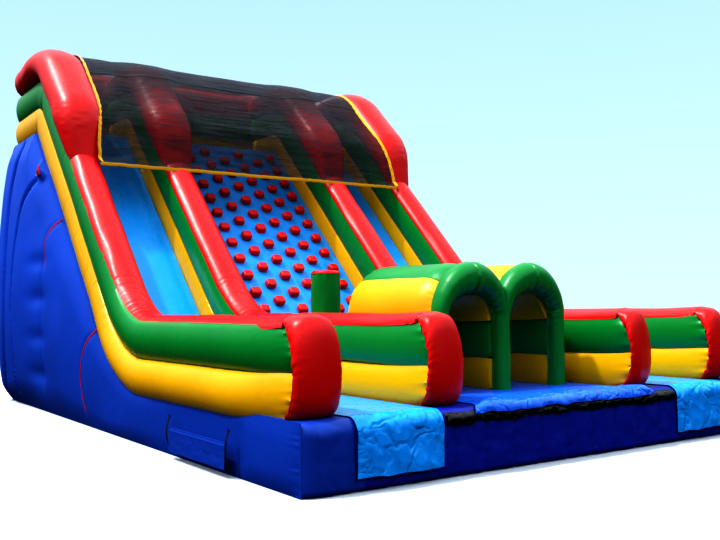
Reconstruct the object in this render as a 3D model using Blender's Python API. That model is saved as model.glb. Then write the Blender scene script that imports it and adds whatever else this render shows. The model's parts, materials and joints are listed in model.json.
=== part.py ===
"""Inflatable dual-lane slide with a centre climbing wall, two crawl tunnels and a mesh canopy.

Metres, +Z up.  The riders come out towards -Y, and X runs across the lanes.  Lines in side view are
lists of (y, z) points that run from the front to the rear, with y counted from the front of the base.
Every solid is moved at the end so that the origin is under the middle of the whole slide.
"""
import math

import bmesh
import bpy
from mathutils import Matrix, Vector

# Fit between pieces that touch
seat_gap = 0.0003

# Base
base_height = 0.64
base_length = 10.15
base_edge_radius = 0.12
base_bottom_radius = 0.05
core_half_width = 3.247

# Walls between the lanes
wall_pitch = 1.5
wall_half_thickness = 0.25
seam_share = 0.76
rail_foot_y = 4.86
rail_slope = math.radians(45.0)
rail_bend_radius = 2.4
platform_height = 4.61
yellow_height = 0.43
green_height = 0.45
cap_height = 0.05
cap_dome_share = 0.42
end_cap_front = 0.10
end_cap_depth = 0.15
end_cap_radius = 0.14
end_cap_undercut = 0.05
end_cap_corner_step = 0.01
end_cap_blend = [0.35, 0.7]
bend_steps = 8

# Rear wall behind the platform
rear_tube_depth = 0.45
rear_yellow_height = 0.44
rear_green_height = 0.46
rear_red_height = 0.40
rear_panel_depth = 0.45
rear_corner_radius = 0.35
rear_corner_steps = 4

# Blue side panels
side_panel_thickness = 0.10
side_panel_edge = 0.05

# Lane beds and the climbing wall
bed_depth = 0.19
bed_front_y = 3.60
bed_front_thickness = 0.02
bed_top_thickness = 0.05
bed_bend_radius = 2.2
hold_columns = 7
hold_column_pitch = 0.34
hold_row_pitch = 0.39
hold_size = 0.16
hold_height = 0.07
hold_taper = 0.72
hold_first_height = 0.30
hold_margin = 0.25

# Sheets
sheet_thickness = 0.008
liner_half_width = 0.49
liner_back_margin = 0.05
liner_drop_height = 0.125
mat_front_y = 0.16
mat_back_y = 3.59
strip_half_length = 1.73
strip_drop = 0.03

# Hoods over the tower
hood_half_width = 0.29
hood_height = 0.54
hood_foot_y = 6.80
hood_foot_length = 0.42
hood_brow_y = 6.90
hood_brow_rise = 1.125
hood_brow_radius = 0.35
hood_crown_radius = 1.40
hood_bend_steps = 4

# Mesh canopy
canopy_hem_rise = 0.035
canopy_line_share = 0.86
canopy_knee_rise = 0.795
canopy_knee_radius = 0.30
canopy_crown_radius = 0.40
canopy_rear_margin = 0.05
canopy_crest_half_width = 0.12
canopy_tent_reach = 0.60
canopy_tent_columns = 3
canopy_sag = 0.05
binding_thickness = 0.015
binding_width = 0.05

# Crawl tunnels
tunnel_pitch = 0.95
tunnel_front_y = 0.92
tunnel_back_y = 2.62
arch_depth = 0.26
arch_half_width = 0.16
arch_edge_radius = 0.09
vault_outer_radius = 0.60
vault_inner_radius = 0.335
vault_spring_height = 1.475
vault_steps = 6
roof_start = math.radians(50.0)
tunnel_yellow_top = 1.01
tunnel_green_top = 1.43

# Pop-up column
popup_x = -0.84
popup_y = 3.48
popup_radius = 0.21
popup_height = 1.46
popup_cap_height = 0.06
popup_cap_profile = [(1.0, 0.0), (0.92, 0.6), (0.6, 1.0)]
popup_sides = 20
popup_foot_steps = 5
popup_foot_start = math.radians(2.0)

# Anchor patches with their rings
anchor_y = 8.20
anchor_height = 3.80
patch_width = 0.20
patch_rise = 0.17
patch_thickness = 0.006
loop_length = 0.050
loop_thickness = 0.020
loop_reach = 0.039
loop_wall = 0.003
loop_rise_share = 0.4
ring_wire_radius = 0.005
ring_clearance = 0.001
ring_reach = 0.075
ring_wire_sides = 8
ring_bend_steps = 8
sharpest_mitre = 0.7

# Deflation zip with its rain flap and carry straps
zip_front_y = 1.30
zip_length = 1.37
zip_height = 0.20
zip_tape_width = 0.030
zip_tape_thickness = 0.004
slider_length = 0.060
slider_width = 0.034
slider_thickness = 0.010
flap_drop = 0.24
flap_thickness = 0.008
flap_stand_off = 0.018
flap_hinge_height = 0.32
keeper_height = 0.030
strap_width = 0.040
strap_thickness = 0.005
strap_bottom = 0.09
strap_top = 0.47
strap_bow = 0.030
strap_side_gap = 0.020
strap_steps = 6

# Air inlet sleeves at the rear
sleeve_x = 1.60
sleeve_height = 0.25
sleeve_radius = 0.17
sleeve_wall = 0.015
sleeve_length = 0.50
sleeve_sides = 24

# What follows from the sizes above
rise_per_metre = math.tan(rail_slope)
rail_head_y = rail_foot_y + (platform_height - base_height) / rise_per_metre
outer_wall_x = 2 * wall_pitch
lane_x = 1.5 * wall_pitch
lane_half_width = wall_pitch / 2 - wall_half_thickness
climb_half_width = wall_pitch - wall_half_thickness
panel_face_x = core_half_width + seat_gap + side_panel_thickness
wall_top = yellow_height + green_height
tube_back_y = base_length - rear_tube_depth
rear_reach = base_length + seat_gap + rear_panel_depth + seat_gap + sleeve_length
front_reach = -(seat_gap + sheet_thickness)
middle_y = (front_reach + rear_reach) / 2

# Cross-sections as (share of the half width, share of the height), up the right side only
tube_half = [(seam_share, 0.0), (0.93, 0.14), (1.0, 0.38), (1.0, 0.62), (0.93, 0.86), (seam_share, 1.0)]
dome_half = [(0.84, 0.0), (0.86, 0.14), (0.80, 0.42), (0.70, 0.66), (0.54, 0.88), (cap_dome_share, 1.0)]
nose_half = [(0.92, 0.0), (1.0, 0.18), (0.99, 0.40), (0.93, 0.62), (0.80, 0.84), (0.56, 1.0)]
hood_half = [(0.64, 0.0), (0.86, 0.12), (0.97, 0.27), (1.0, 0.42), (1.0, 0.74), (0.90, 0.89), (0.40, 1.0)]

colours = {
    "red_vinyl": (0.78, 0.012, 0.010),
    "green_vinyl": (0.0, 0.32, 0.06),
    "yellow_vinyl": (0.92, 0.56, 0.0),
    "blue_vinyl": (0.010, 0.055, 0.62),
    "liner_vinyl": (0.0, 0.34, 0.95),
    "black_webbing": (0.012, 0.012, 0.015),
    "mesh_fabric": (0.015, 0.018, 0.030),
    "zinc_steel": (0.55, 0.56, 0.58),
}
roughness = {"black_webbing": 0.7, "mesh_fabric": 0.7, "zinc_steel": 0.35}


def clear_scene():
    for item in list(bpy.data.objects):
        bpy.data.objects.remove(item, do_unlink=True)


def material(name):
    """The Principled BSDF material of one of the named finishes, made once."""
    found = bpy.data.materials.get(name)
    if found:
        return found
    made = bpy.data.materials.new(name)
    made.use_nodes = True
    shader = made.node_tree.nodes["Principled BSDF"]
    shader.inputs["Base Color"].default_value = (*colours[name], 1.0)
    shader.inputs["Roughness"].default_value = roughness.get(name, 0.28)
    shader.inputs["Metallic"].default_value = 1.0 if name == "zinc_steel" else 0.0
    return made


def add_object(name, shape, finish, origin=(0.0, 0.0, 0.0), smooth=True):
    """Turn a bmesh into a named object with its origin at the given point, faces pointing out."""
    bmesh.ops.recalc_face_normals(shape, faces=shape.faces)
    start = Vector(origin)
    bmesh.ops.translate(shape, verts=shape.verts, vec=-start)
    mesh = bpy.data.meshes.new(name)
    shape.to_mesh(mesh)
    shape.free()
    if smooth:
        mesh.shade_smooth()
        mesh.set_sharp_from_angle(angle=math.radians(40.0))
    mesh.materials.append(material(finish))
    made = bpy.data.objects.new(name, mesh)
    made.location = start - Vector((0.0, middle_y, 0.0))
    bpy.context.scene.collection.objects.link(made)
    return made


def bridge_rings(rings):
    """A closed body through rings of equally many points, with a flat end on the first and last."""
    shape = bmesh.new()
    loops = [[shape.verts.new(point) for point in ring] for ring in rings]
    count = len(loops[0])
    for near, far in zip(loops, loops[1:]):
        for k in range(count):
            shape.faces.new((near[k], near[(k + 1) % count], far[(k + 1) % count], far[k]))
    shape.faces.new(loops[0])
    shape.faces.new(loops[-1])
    return shape


def box(low, high):
    """A block between two corners."""
    (x0, y0, z0), (x1, y1, z1) = low, high
    rings = [[(x0, y0, z), (x1, y0, z), (x1, y1, z), (x0, y1, z)] for z in (z0, z1)]
    return bridge_rings(rings)


def cylinder(centre, axis, radius, length, sides):
    """A cylinder with its middle at centre and its axis along the given direction."""
    shape = bmesh.new()
    turn = Vector((0.0, 0.0, 1.0)).rotation_difference(Vector(axis)).to_matrix().to_4x4()
    bmesh.ops.create_cone(shape, cap_ends=True, segments=sides, radius1=radius, radius2=radius,
                          depth=length, matrix=Matrix.Translation(centre) @ turn)
    return shape


def arc(centre, radius, start, end, steps):
    """Points on a circle in side view or end view, from one angle to another."""
    angles = [start + (end - start) * k / steps for k in range(steps + 1)]
    return [(centre[0] + radius * math.cos(a), centre[1] + radius * math.sin(a)) for a in angles]


def fillet_line(corners, radii, steps):
    """The line through the corners, with each inner corner rounded to its radius (0 stays sharp)."""
    line = [corners[0]]
    for before, corner, after, radius in zip(corners, corners[1:], corners[2:], radii):
        if radius == 0:
            line.append(corner)
            continue
        back = Vector(before) - Vector(corner)
        ahead = Vector(after) - Vector(corner)
        half = back.angle(ahead) / 2
        reach = radius / math.tan(half)
        start = Vector(corner) + back.normalized() * reach
        end = Vector(corner) + ahead.normalized() * reach
        bisector = (back.normalized() + ahead.normalized()).normalized()
        centre = Vector(corner) + bisector * radius / math.sin(half)
        first = start - centre
        turn = first.angle_signed(end - centre)
        for k in range(steps + 1):
            angle = -turn * k / steps
            line.append((centre.x + first.x * math.cos(angle) - first.y * math.sin(angle),
                         centre.y + first.x * math.sin(angle) + first.y * math.cos(angle)))
    line.append(corners[-1])
    return line


def offset_line(line, distance):
    """The line moved outwards (up, where it runs to the rear) by a distance, mitred at its corners."""
    moved = []
    for k, point in enumerate(line):
        before = Vector(line[max(k - 1, 0)])
        after = Vector(line[min(k + 1, len(line) - 1)])
        here = Vector(point)
        into = (here - before) if k > 0 else (after - here)
        away = (after - here) if k < len(line) - 1 else into
        normals = [Vector((-step.y, step.x)).normalized() for step in (into, away)]
        mitre = (normals[0] + normals[1]).normalized()
        moved.append(tuple(here + mitre * distance / mitre.dot(normals[0])))
    return moved


def split(start, end, pieces):
    """Evenly spaced points from start to end."""
    return [tuple(Vector(start).lerp(Vector(end), k / pieces)) for k in range(pieces + 1)]


def slope_y(height, offset):
    """Where the slope, moved outwards by offset, reaches a height."""
    return rail_foot_y + (height - base_height - offset / math.cos(rail_slope)) / rise_per_metre


def rail_line(offset, start_y, end_y):
    """The line that the walls follow, moved outwards: along the base, up the slope, along the tower."""
    lean = offset * math.tan(rail_slope / 2)
    corners = [(start_y, base_height + offset), (rail_foot_y - lean, base_height + offset),
               (rail_head_y - lean, platform_height + offset), (end_y, platform_height + offset)]
    return fillet_line(corners, [rail_bend_radius - offset, 0], bend_steps)


def bed_line(extra=0.0):
    """The top of the lane beds and of the climbing wall."""
    low = base_height + bed_front_thickness
    high = platform_height + bed_top_thickness
    corners = [(bed_front_y, low), (slope_y(low, bed_depth), low),
               (slope_y(high, bed_depth), high), (tube_back_y - seat_gap, high)]
    line = fillet_line(corners, [bed_bend_radius, 0], bend_steps)
    return offset_line(line, extra) if extra else line


def front_edge(extra=0.0):
    """The rounded top edge of the base's front, from its front face to its top."""
    centre = (base_edge_radius, base_height - base_edge_radius)
    return arc(centre, base_edge_radius + extra, math.pi, math.pi / 2, 4)


def loft(inner, outer, centre_x, half_width, half_section):
    """A body between two matching lines, with the section's half mirrored about centre_x.

    half_section is a list of (share of the half width, share of the way from inner to outer), or a
    list of such lists with one for each pair of points.
    """
    rings = []
    for k, (low, high) in enumerate(zip(inner, outer)):
        half = half_section[k] if isinstance(half_section[0], list) else half_section
        ring = half + [(-u, t) for u, t in reversed(half)]
        low, high = Vector(low), Vector(high)
        rings.append([(centre_x + u * half_width, *low.lerp(high, t)) for u, t in ring])
    return bridge_rings(rings)


def prism(outline, x0, x1):
    """A side-view outline carried straight across from x0 to x1."""
    return bridge_rings([[(x, y, z) for y, z in outline] for x in (x0, x1)])


def cross_prism(outline, y0, y1):
    """An end-view outline of (x, z) points carried from y0 to y1."""
    return bridge_rings([[(x, y, z) for x, z in outline] for y in (y0, y1)])


def cut(target, shape, operation):
    """Cut a shape from an object, or join it on, and keep the result in the object's mesh."""
    tool = add_object("tool", shape, "zinc_steel")
    change = target.modifiers.new(operation, "BOOLEAN")
    change.operation = operation
    change.object = tool
    bpy.context.view_layer.update()
    graph = bpy.context.evaluated_depsgraph_get()
    result = bpy.data.meshes.new_from_object(target.evaluated_get(graph))
    target.modifiers.clear()
    target.data = result
    bpy.data.objects.remove(tool, do_unlink=True)


def make_base():
    bottom = arc((base_bottom_radius, base_bottom_radius), base_bottom_radius, 1.5 * math.pi, math.pi, 3)
    outline = bottom + front_edge() + [(base_length, base_height), (base_length, 0.0)]
    add_object("base_platform", prism(outline, -core_half_width, core_half_width), "blue_vinyl")


def make_tower_core():
    """The chamber under the slope, from just behind the bend's start to the rear."""
    top = rail_line(0.0, bed_front_y, base_length)[2:]
    floor = base_height + seat_gap
    outline = [(top[0][0], floor)] + top + [(base_length, floor)]
    add_object("tower_core", prism(outline, -core_half_width, core_half_width), "blue_vinyl")


def make_side_panels():
    """Each panel follows the whole side and is rounded at its outer edge."""
    rear_y = base_length + rear_panel_depth
    top = rail_line(0.0, end_cap_front, rear_y)
    bottom = arc((base_bottom_radius, base_bottom_radius), base_bottom_radius, 1.5 * math.pi, math.pi, 3)
    corner = fillet_line([top[-2], top[-1], (rear_y, 0.0)], [rear_corner_radius], rear_corner_steps)
    outline = bottom + front_edge() + top[1:-2] + corner
    closed = outline[-1:] + outline + outline[:1]
    inset = offset_line(closed, -side_panel_edge)[1:-1]
    for side, word in ((-1, "left"), (1, "right")):
        near = core_half_width + seat_gap
        places = [(near, outline), (panel_face_x - side_panel_edge, outline), (panel_face_x, inset)]
        rings = [[(side * x, y, z) for y, z in line] for x, line in places]
        add_object(f"side_panel_{word}", bridge_rings(rings), "blue_vinyl")


def make_rear_panel():
    """The rear chamber, with the same rounded top corner as the side panels."""
    start = base_length + seat_gap
    end = base_length + rear_panel_depth
    corner = fillet_line([(start, platform_height), (end, platform_height), (end, 0.0)],
                         [rear_corner_radius], rear_corner_steps)
    add_object("rear_panel", prism([(start, 0.0)] + corner, -core_half_width, core_half_width), "blue_vinyl")


def make_lane_beds():
    inner = rail_line(seat_gap, bed_front_y, tube_back_y - seat_gap)
    for side, word in ((-1, "left"), (1, "right")):
        shape = loft(inner, bed_line(), side * lane_x, lane_half_width - seat_gap, [(1.0, 0.0), (1.0, 1.0)])
        add_object(f"lane_bed_{word}", shape, "blue_vinyl")


def hold_rows():
    """Heights along the slope of the hold rows, as distances from the slope's foot."""
    low = base_height + bed_front_thickness
    high = platform_height + bed_top_thickness
    length = (high - low) / math.sin(rail_slope)
    count = int((length - hold_first_height - hold_margin) / (hold_row_pitch / 2)) + 1
    return [hold_first_height + k * hold_row_pitch / 2 for k in range(count)]


def make_climbing_wall():
    """A mattress whose top is a grid, with every hold raised from its own cell of the grid."""
    half = climb_half_width - seat_gap
    low = base_height + bed_front_thickness
    foot = Vector((slope_y(low, bed_depth), low))
    along = Vector((math.cos(rail_slope), math.sin(rail_slope)))
    line = bed_line()
    bend_end = (Vector(line[bend_steps + 1]) - foot).length
    head, rear = line[-2], line[-1]
    rows = [row for row in hold_rows() if row - hold_size / 2 > bend_end]
    stops = [tuple(foot + along * (row + side * hold_size / 2)) for row in rows for side in (-1, 1)]
    tops = line[:bend_steps + 2] + stops + [head, rear]
    columns = [(k - (hold_columns - 1) / 2) * hold_column_pitch for k in range(hold_columns)]
    lanes = [-half] + [c + side * hold_size / 2 for c in columns for side in (-1, 1)] + [half]
    shape = bmesh.new()
    grid = [[shape.verts.new((x, y, z)) for x in lanes] for y, z in tops]
    cells = {}
    for i in range(len(tops) - 1):
        for j in range(len(lanes) - 1):
            quad = (grid[i][j], grid[i][j + 1], grid[i + 1][j + 1], grid[i + 1][j])
            cells[i, j] = shape.faces.new(quad)
    under = rail_line(seat_gap, bed_front_y, tube_back_y - seat_gap)
    sides = [[shape.verts.new((x, y, z)) for y, z in under] for x in (-half, half)]
    shape.faces.new([grid[i][0] for i in range(len(tops))] + list(reversed(sides[0])))
    shape.faces.new([grid[i][-1] for i in range(len(tops))] + list(reversed(sides[1])))
    shape.faces.new(grid[0] + [sides[1][0], sides[0][0]])
    shape.faces.new(grid[-1] + [sides[1][-1], sides[0][-1]])
    for k in range(len(under) - 1):
        shape.faces.new((sides[0][k], sides[1][k], sides[1][k + 1], sides[0][k + 1]))
    bmesh.ops.recalc_face_normals(shape, faces=shape.faces)
    first = bend_steps + 2
    raised = [cells[first + 2 * r, 2 * c + 1] for r in range(len(rows)) for c in range(hold_columns)
              if (r + c) % 2 == 0]
    outward = Vector((0.0, -math.sin(rail_slope), math.cos(rail_slope)))
    for face in bmesh.ops.extrude_discrete_faces(shape, faces=raised)["faces"]:
        middle = face.calc_center_median()
        bmesh.ops.scale(shape, vec=(hold_taper,) * 3, verts=face.verts, space=Matrix.Translation(-middle))
        bmesh.ops.translate(shape, vec=outward * hold_height, verts=face.verts)
        for corner in face.verts:
            for side in corner.link_faces:
                side.material_index = 1
    wall = add_object("climbing_wall", shape, "blue_vinyl")
    wall.data.materials.append(material("red_vinyl"))


def make_sheets():
    """Two slide liners that hang over the front edge, the landing mat and its black edge strip."""
    bed = bed_line()
    bed[-1] = (bed[-1][0] - liner_back_margin, bed[-1][1])
    ramp = (bed_front_y - 3 * bed_front_thickness, base_height)
    top_line = [(0.0, liner_drop_height)] + front_edge() + [ramp] + bed
    inner = offset_line(top_line, seat_gap)
    outer = offset_line(top_line, seat_gap + sheet_thickness)
    for side, word in ((-1, "left"), (1, "right")):
        shape = loft(inner, outer, side * lane_x, liner_half_width, [(1.0, 0.0), (1.0, 1.0)])
        add_object(f"lane_liner_{word}", shape, "liner_vinyl")
    floor = base_height + seat_gap
    wide = climb_half_width - seat_gap
    add_object("landing_mat", box((-wide, mat_front_y, floor), (wide, mat_back_y, floor + sheet_thickness)),
               "blue_vinyl")
    edge = [(0.0, base_height - base_edge_radius - strip_drop)] + front_edge()[:3]
    shape = loft(offset_line(edge, seat_gap), offset_line(edge, seat_gap + sheet_thickness), 0.0,
                 strip_half_length, [(1.0, 0.0), (1.0, 1.0)])
    add_object("edge_strip", shape, "black_webbing")


def wall_back(x):
    """The outer walls run to the rear, and the inner ones stop at the rear wall's tubes."""
    return base_length if abs(x) > 1.5 * wall_pitch else tube_back_y - seat_gap


def cap_line(offset, start_y):
    """The red cap's line: as the rail's, but it ends square to the slope at the hood's foot."""
    line = rail_line(offset, start_y, base_length)[:-2]
    end = Vector(hood_seat(hood_foot_y))
    end -= Vector((math.cos(rail_slope), math.sin(rail_slope))) * 2 * seat_gap
    end += Vector((-math.sin(rail_slope), math.cos(rail_slope))) * (offset - wall_top - seat_gap)
    return line + [tuple(end)]


def hood_seat(y):
    """The point of the hoods' seat, on the slope, at a given y."""
    return (y, base_height + (y - slope_y(base_height, wall_top + seat_gap)) * rise_per_metre)


def make_wall(x, word):
    """One rail wall: a yellow tube, a green tube, and a red cap that turns down at the front."""
    back = wall_back(x)
    start = end_cap_front + end_cap_depth + seat_gap
    levels = [("yellow", seat_gap, yellow_height), ("green", yellow_height + seat_gap, wall_top)]
    for colour, low, high in levels:
        lines = [rail_line(offset, start, back) for offset in (low, high)]
        shape = loft(*lines, x, wall_half_thickness, tube_half)
        add_object(f"wall_{word}_{colour}", shape, f"{colour}_vinyl")
    end_back = end_cap_front + end_cap_depth
    under = cap_line(wall_top + seat_gap, end_back)
    over = cap_line(wall_top + cap_height, end_back)
    top = under[0][1]
    crest = over[0][1]
    floor = base_height + seat_gap
    centre = (end_cap_front + end_cap_radius, crest - end_cap_radius)
    turn = arc(centre, end_cap_radius, math.pi, math.pi / 2, 4)
    belly = (end_cap_front, (floor + top) / 2)
    foot = (end_cap_front + end_cap_undercut, floor)
    outer = [foot, belly] + turn + over
    corner = [(end_back, top - k * end_cap_corner_step) for k in (4, 3, 2, 1)] + [(end_back, top)]
    lift = [(end_back + end_cap_corner_step, top)]
    inner = [(end_back, floor), (end_back, (floor + top) / 2)] + corner + lift + under[1:]
    blend = [0.0 for point in [foot] + turn] + end_cap_blend
    sections = []
    for k in range(len(inner)):
        share = blend[k] if k < len(blend) else 1.0
        sections.append([tuple(Vector(a).lerp(Vector(b), share)) for a, b in zip(nose_half, dome_half)])
    add_object(f"wall_{word}_cap", loft(inner, outer, x, wall_half_thickness, sections), "red_vinyl")


def hood_outer_line(end_y):
    """The hood's outline in side view: up its front, round its brow, up the slope and over the crown."""
    crown_height = platform_height + wall_top + hood_height
    crown_y = slope_y(crown_height, wall_top + hood_height)
    foot = hood_seat(hood_foot_y)
    brow = (hood_brow_y, foot[1] + hood_brow_rise)
    corners = [foot, brow, (crown_y, crown_height), (end_y, crown_height)]
    return fillet_line(corners, [hood_brow_radius, hood_crown_radius], hood_bend_steps)


def make_hood(x, word):
    back = wall_back(x)
    outer = hood_outer_line(back)
    seat = rail_line(wall_top + seat_gap, hood_foot_y, back)
    heel = Vector(outer[0]) + Vector((math.cos(rail_slope), math.sin(rail_slope))) * hood_foot_length
    slope_steps = 2 + hood_bend_steps + hood_bend_steps // 2
    rear_steps = len(outer) - 1 - slope_steps
    inner = split(heel, seat[-2], slope_steps) + split(seat[-2], seat[-1], rear_steps)[1:]
    add_object(f"hood_{word}", loft(inner, outer, x, hood_half_width, hood_half), "red_vinyl")


def hem_place():
    """Where the sheet meets its hem, whose lower edge just clears the walls' red caps."""
    height = hood_seat(hood_foot_y)[1] + canopy_hem_rise
    lower_edge = height - binding_width - seat_gap
    return slope_y(lower_edge, wall_top + cap_height) - sheet_thickness / 2 - seat_gap, height


def canopy_lines():
    """Two matching lines in side view: of the sheet between the hoods, and of the sheet over a hood."""
    rear_y = tube_back_y - canopy_rear_margin
    middle = wall_top + hood_height * canopy_line_share
    hem = hem_place()
    knee = hem[1] + canopy_knee_rise
    crown = platform_height + middle
    low = fillet_line([hem, (slope_y(knee, middle), knee), (slope_y(crown, middle), crown), (rear_y, crown)],
                      [canopy_knee_radius, canopy_crown_radius], hood_bend_steps)
    high = [hem] + offset_line(hood_outer_line(rear_y), seat_gap)[1:]
    return low, high


def tent_share(x):
    """How much of the hood's height the sheet has at x: 1 over an inner hood, 0 away from it."""
    away = max(abs(abs(x) - wall_pitch) - canopy_crest_half_width, 0.0)
    return math.cos(math.pi / 2 * min(away / (canopy_tent_reach - canopy_crest_half_width), 1.0))


def make_canopy():
    """A mesh sheet stretched from the left hood to the right one, lifted by the two hoods between."""
    low, high = canopy_lines()
    edge = outer_wall_x - hood_half_width - seat_gap - binding_thickness - seat_gap
    step = (canopy_tent_reach - canopy_crest_half_width) / canopy_tent_columns
    reach = [canopy_crest_half_width + step * k for k in range(canopy_tent_columns + 1)]
    tent = [-x for x in reversed(reach)] + reach
    columns = [-edge] + [-wall_pitch + t for t in tent] + [0.0] + [wall_pitch + t for t in tent] + [edge]
    spans = [(-edge, -wall_pitch), (-wall_pitch, wall_pitch), (wall_pitch, edge)]
    layers = []
    for lift in (0.0, sheet_thickness):
        under, over = offset_line(low, lift), offset_line(high, lift)
        rows = []
        for k, (near, far) in enumerate(zip(under, over)):
            row = []
            for x in columns:
                left, right = next(span for span in spans if span[0] <= x <= span[1])
                share = tent_share(x)
                point = Vector(near).lerp(Vector(far), share)
                sag = canopy_sag * math.sin(math.pi * (x - left) / (right - left)) * (1 - share)
                loose = sag if 0 < k else 0.0
                row.append((x, point.x, point.y - loose))
            rows.append(row)
        layers.append(rows)
    shape = bmesh.new()
    sheets = [[[shape.verts.new(point) for point in row] for row in rows] for rows in layers]
    count, across = len(layers[0]), len(columns)
    for sheet in sheets:
        for i in range(count - 1):
            for j in range(across - 1):
                shape.faces.new((sheet[i][j], sheet[i][j + 1], sheet[i + 1][j + 1], sheet[i + 1][j]))
    rim = [(0, j) for j in range(across)] + [(i, across - 1) for i in range(1, count)]
    rim += [(count - 1, j) for j in range(across - 2, -1, -1)] + [(i, 0) for i in range(count - 2, 0, -1)]
    for (i, j), (m, n) in zip(rim, rim[1:] + rim[:1]):
        shape.faces.new((sheets[0][i][j], sheets[0][m][n], sheets[1][m][n], sheets[1][i][j]))
    add_object("canopy_mesh", shape, "mesh_fabric")
    hem_y, hem_top = hem_place()
    half = sheet_thickness / 2
    add_object("canopy_hem", box((-edge, hem_y - half, hem_top - binding_width - seat_gap),
                                 (edge, hem_y + half, hem_top - seat_gap)), "yellow_vinyl")
    for side, word in ((-1, "left"), (1, "right")):
        inner = offset_line(low, -binding_width / 2)
        outer = offset_line(low, binding_width / 2)
        place = side * (outer_wall_x - hood_half_width - seat_gap - binding_thickness / 2)
        shape = loft(inner, outer, place, binding_thickness / 2, [(1.0, 0.0), (1.0, 1.0)])
        add_object(f"canopy_binding_{word}", shape, "yellow_vinyl")


def make_rear_wall():
    """Three tubes across the back of the platform, between the outer walls."""
    middle = base_length - rear_tube_depth / 2
    floor = platform_height
    tubes = [("yellow", rear_yellow_height, wall_half_thickness),
             ("green", rear_green_height, wall_half_thickness),
             ("red", rear_red_height, hood_half_width)]
    ring = tube_half + [(-u, t) for u, t in reversed(tube_half)]
    for colour, height, neighbour in tubes:
        half = outer_wall_x - neighbour - seat_gap
        foot = floor + seat_gap
        outline = [(middle + u * rear_tube_depth / 2, foot + t * (height - seat_gap)) for u, t in ring]
        add_object(f"rear_tube_{colour}", prism(outline, -half, half), f"{colour}_vinyl")
        floor += height


def arch_outline(radius_out, radius_in, floor):
    """End view of the two arches side by side: a comb with three legs and two round-topped openings."""
    half = tunnel_pitch / 2
    valley = math.acos(half / radius_out)
    left, right = (-half, vault_spring_height), (half, vault_spring_height)
    steps = 2 * vault_steps
    outer = arc(left, radius_out, math.pi, valley, steps)
    outer += arc(right, radius_out, math.pi - valley, 0.0, steps)[1:]
    inner_right = arc(right, radius_in, 0.0, math.pi, steps)
    inner_left = arc(left, radius_in, 0.0, math.pi, steps)
    ends = [(half + radius_out, floor), (half + radius_in, floor)]
    middle = [(half - radius_in, floor), (-half + radius_in, floor)]
    last = [(-half - radius_in, floor), (-half - radius_out, floor)]
    return outer + ends + inner_right + middle + inner_left + last


def make_arches(floor):
    out = tunnel_pitch / 2 + arch_half_width
    outline = arch_outline(out, tunnel_pitch / 2 - arch_half_width, floor)
    shape = cross_prism(outline, tunnel_front_y, tunnel_front_y + arch_depth)
    made = add_object("tunnel_arches", shape, "green_vinyl")
    rounding = made.modifiers.new("rounded edges", "BEVEL")
    rounding.width = arch_edge_radius
    rounding.segments = 2
    rounding.limit_method = "ANGLE"
    rounding.angle_limit = math.radians(60.0)


def make_tunnel_walls(floor):
    """Three walls of banded tubes, each with a haunch on top that carries the vaulted roofs."""
    y0 = tunnel_front_y + arch_depth + seat_gap
    y1 = tunnel_back_y
    half = tunnel_pitch / 2
    outer_half = (vault_outer_radius - vault_inner_radius) / 2
    outer_x = half + (vault_outer_radius + vault_inner_radius) / 2
    walls = [("left", -outer_x, outer_half), ("middle", 0.0, half - vault_inner_radius),
             ("right", outer_x, outer_half)]
    bands = [("lower", floor, tunnel_yellow_top, "yellow_vinyl"),
             ("upper", tunnel_yellow_top + seat_gap, tunnel_green_top, "green_vinyl")]
    for word, x, thick in walls:
        for level, low, high, finish in bands:
            shape = loft([(y0, low), (y1, low)], [(y0, high), (y1, high)], x, thick, tube_half)
            add_object(f"tunnel_wall_{word}_{level}", shape, finish)
    foot = tunnel_green_top + seat_gap
    left = (-half, vault_spring_height)
    spread = seat_gap / vault_inner_radius
    outside = arc(left, vault_outer_radius, math.pi, math.pi - roof_start, vault_steps)
    inside = arc(left, vault_inner_radius, math.pi - roof_start, math.pi, vault_steps)
    haunch = [(outside[0][0], foot)] + outside + inside + [(inside[-1][0], foot)]
    valley = math.acos(half / vault_outer_radius)
    climb = arc(left, vault_inner_radius, 0.0, roof_start, vault_steps)
    fall = arc(left, vault_outer_radius, roof_start, valley, 2)
    half_middle = [(climb[0][0], foot)] + climb + fall
    mirrored = [(-x, z) for x, z in reversed(half_middle)]
    roof = (arc(left, vault_outer_radius, math.pi - roof_start - spread, roof_start + spread, vault_steps)
            + arc(left, vault_inner_radius, roof_start + spread, math.pi - roof_start - spread, vault_steps))
    long_roof = (arc(left, vault_outer_radius, math.pi, roof_start + spread, 2 * vault_steps)
                 + arc(left, vault_inner_radius, roof_start + spread, math.pi, 2 * vault_steps))
    long_roof = [(outside[0][0], foot)] + long_roof + [(inside[-1][0], foot)]
    shapes = [("tunnel_haunch_left", haunch, "yellow_vinyl"),
              ("tunnel_haunch_middle", half_middle + mirrored[1:], "yellow_vinyl"),
              ("tunnel_roof_left", roof, "green_vinyl"),
              ("tunnel_roof_right", [(-x, z) for x, z in long_roof], "yellow_vinyl")]
    for name, outline, finish in shapes:
        add_object(name, cross_prism(outline, y0, y1), finish)


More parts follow.
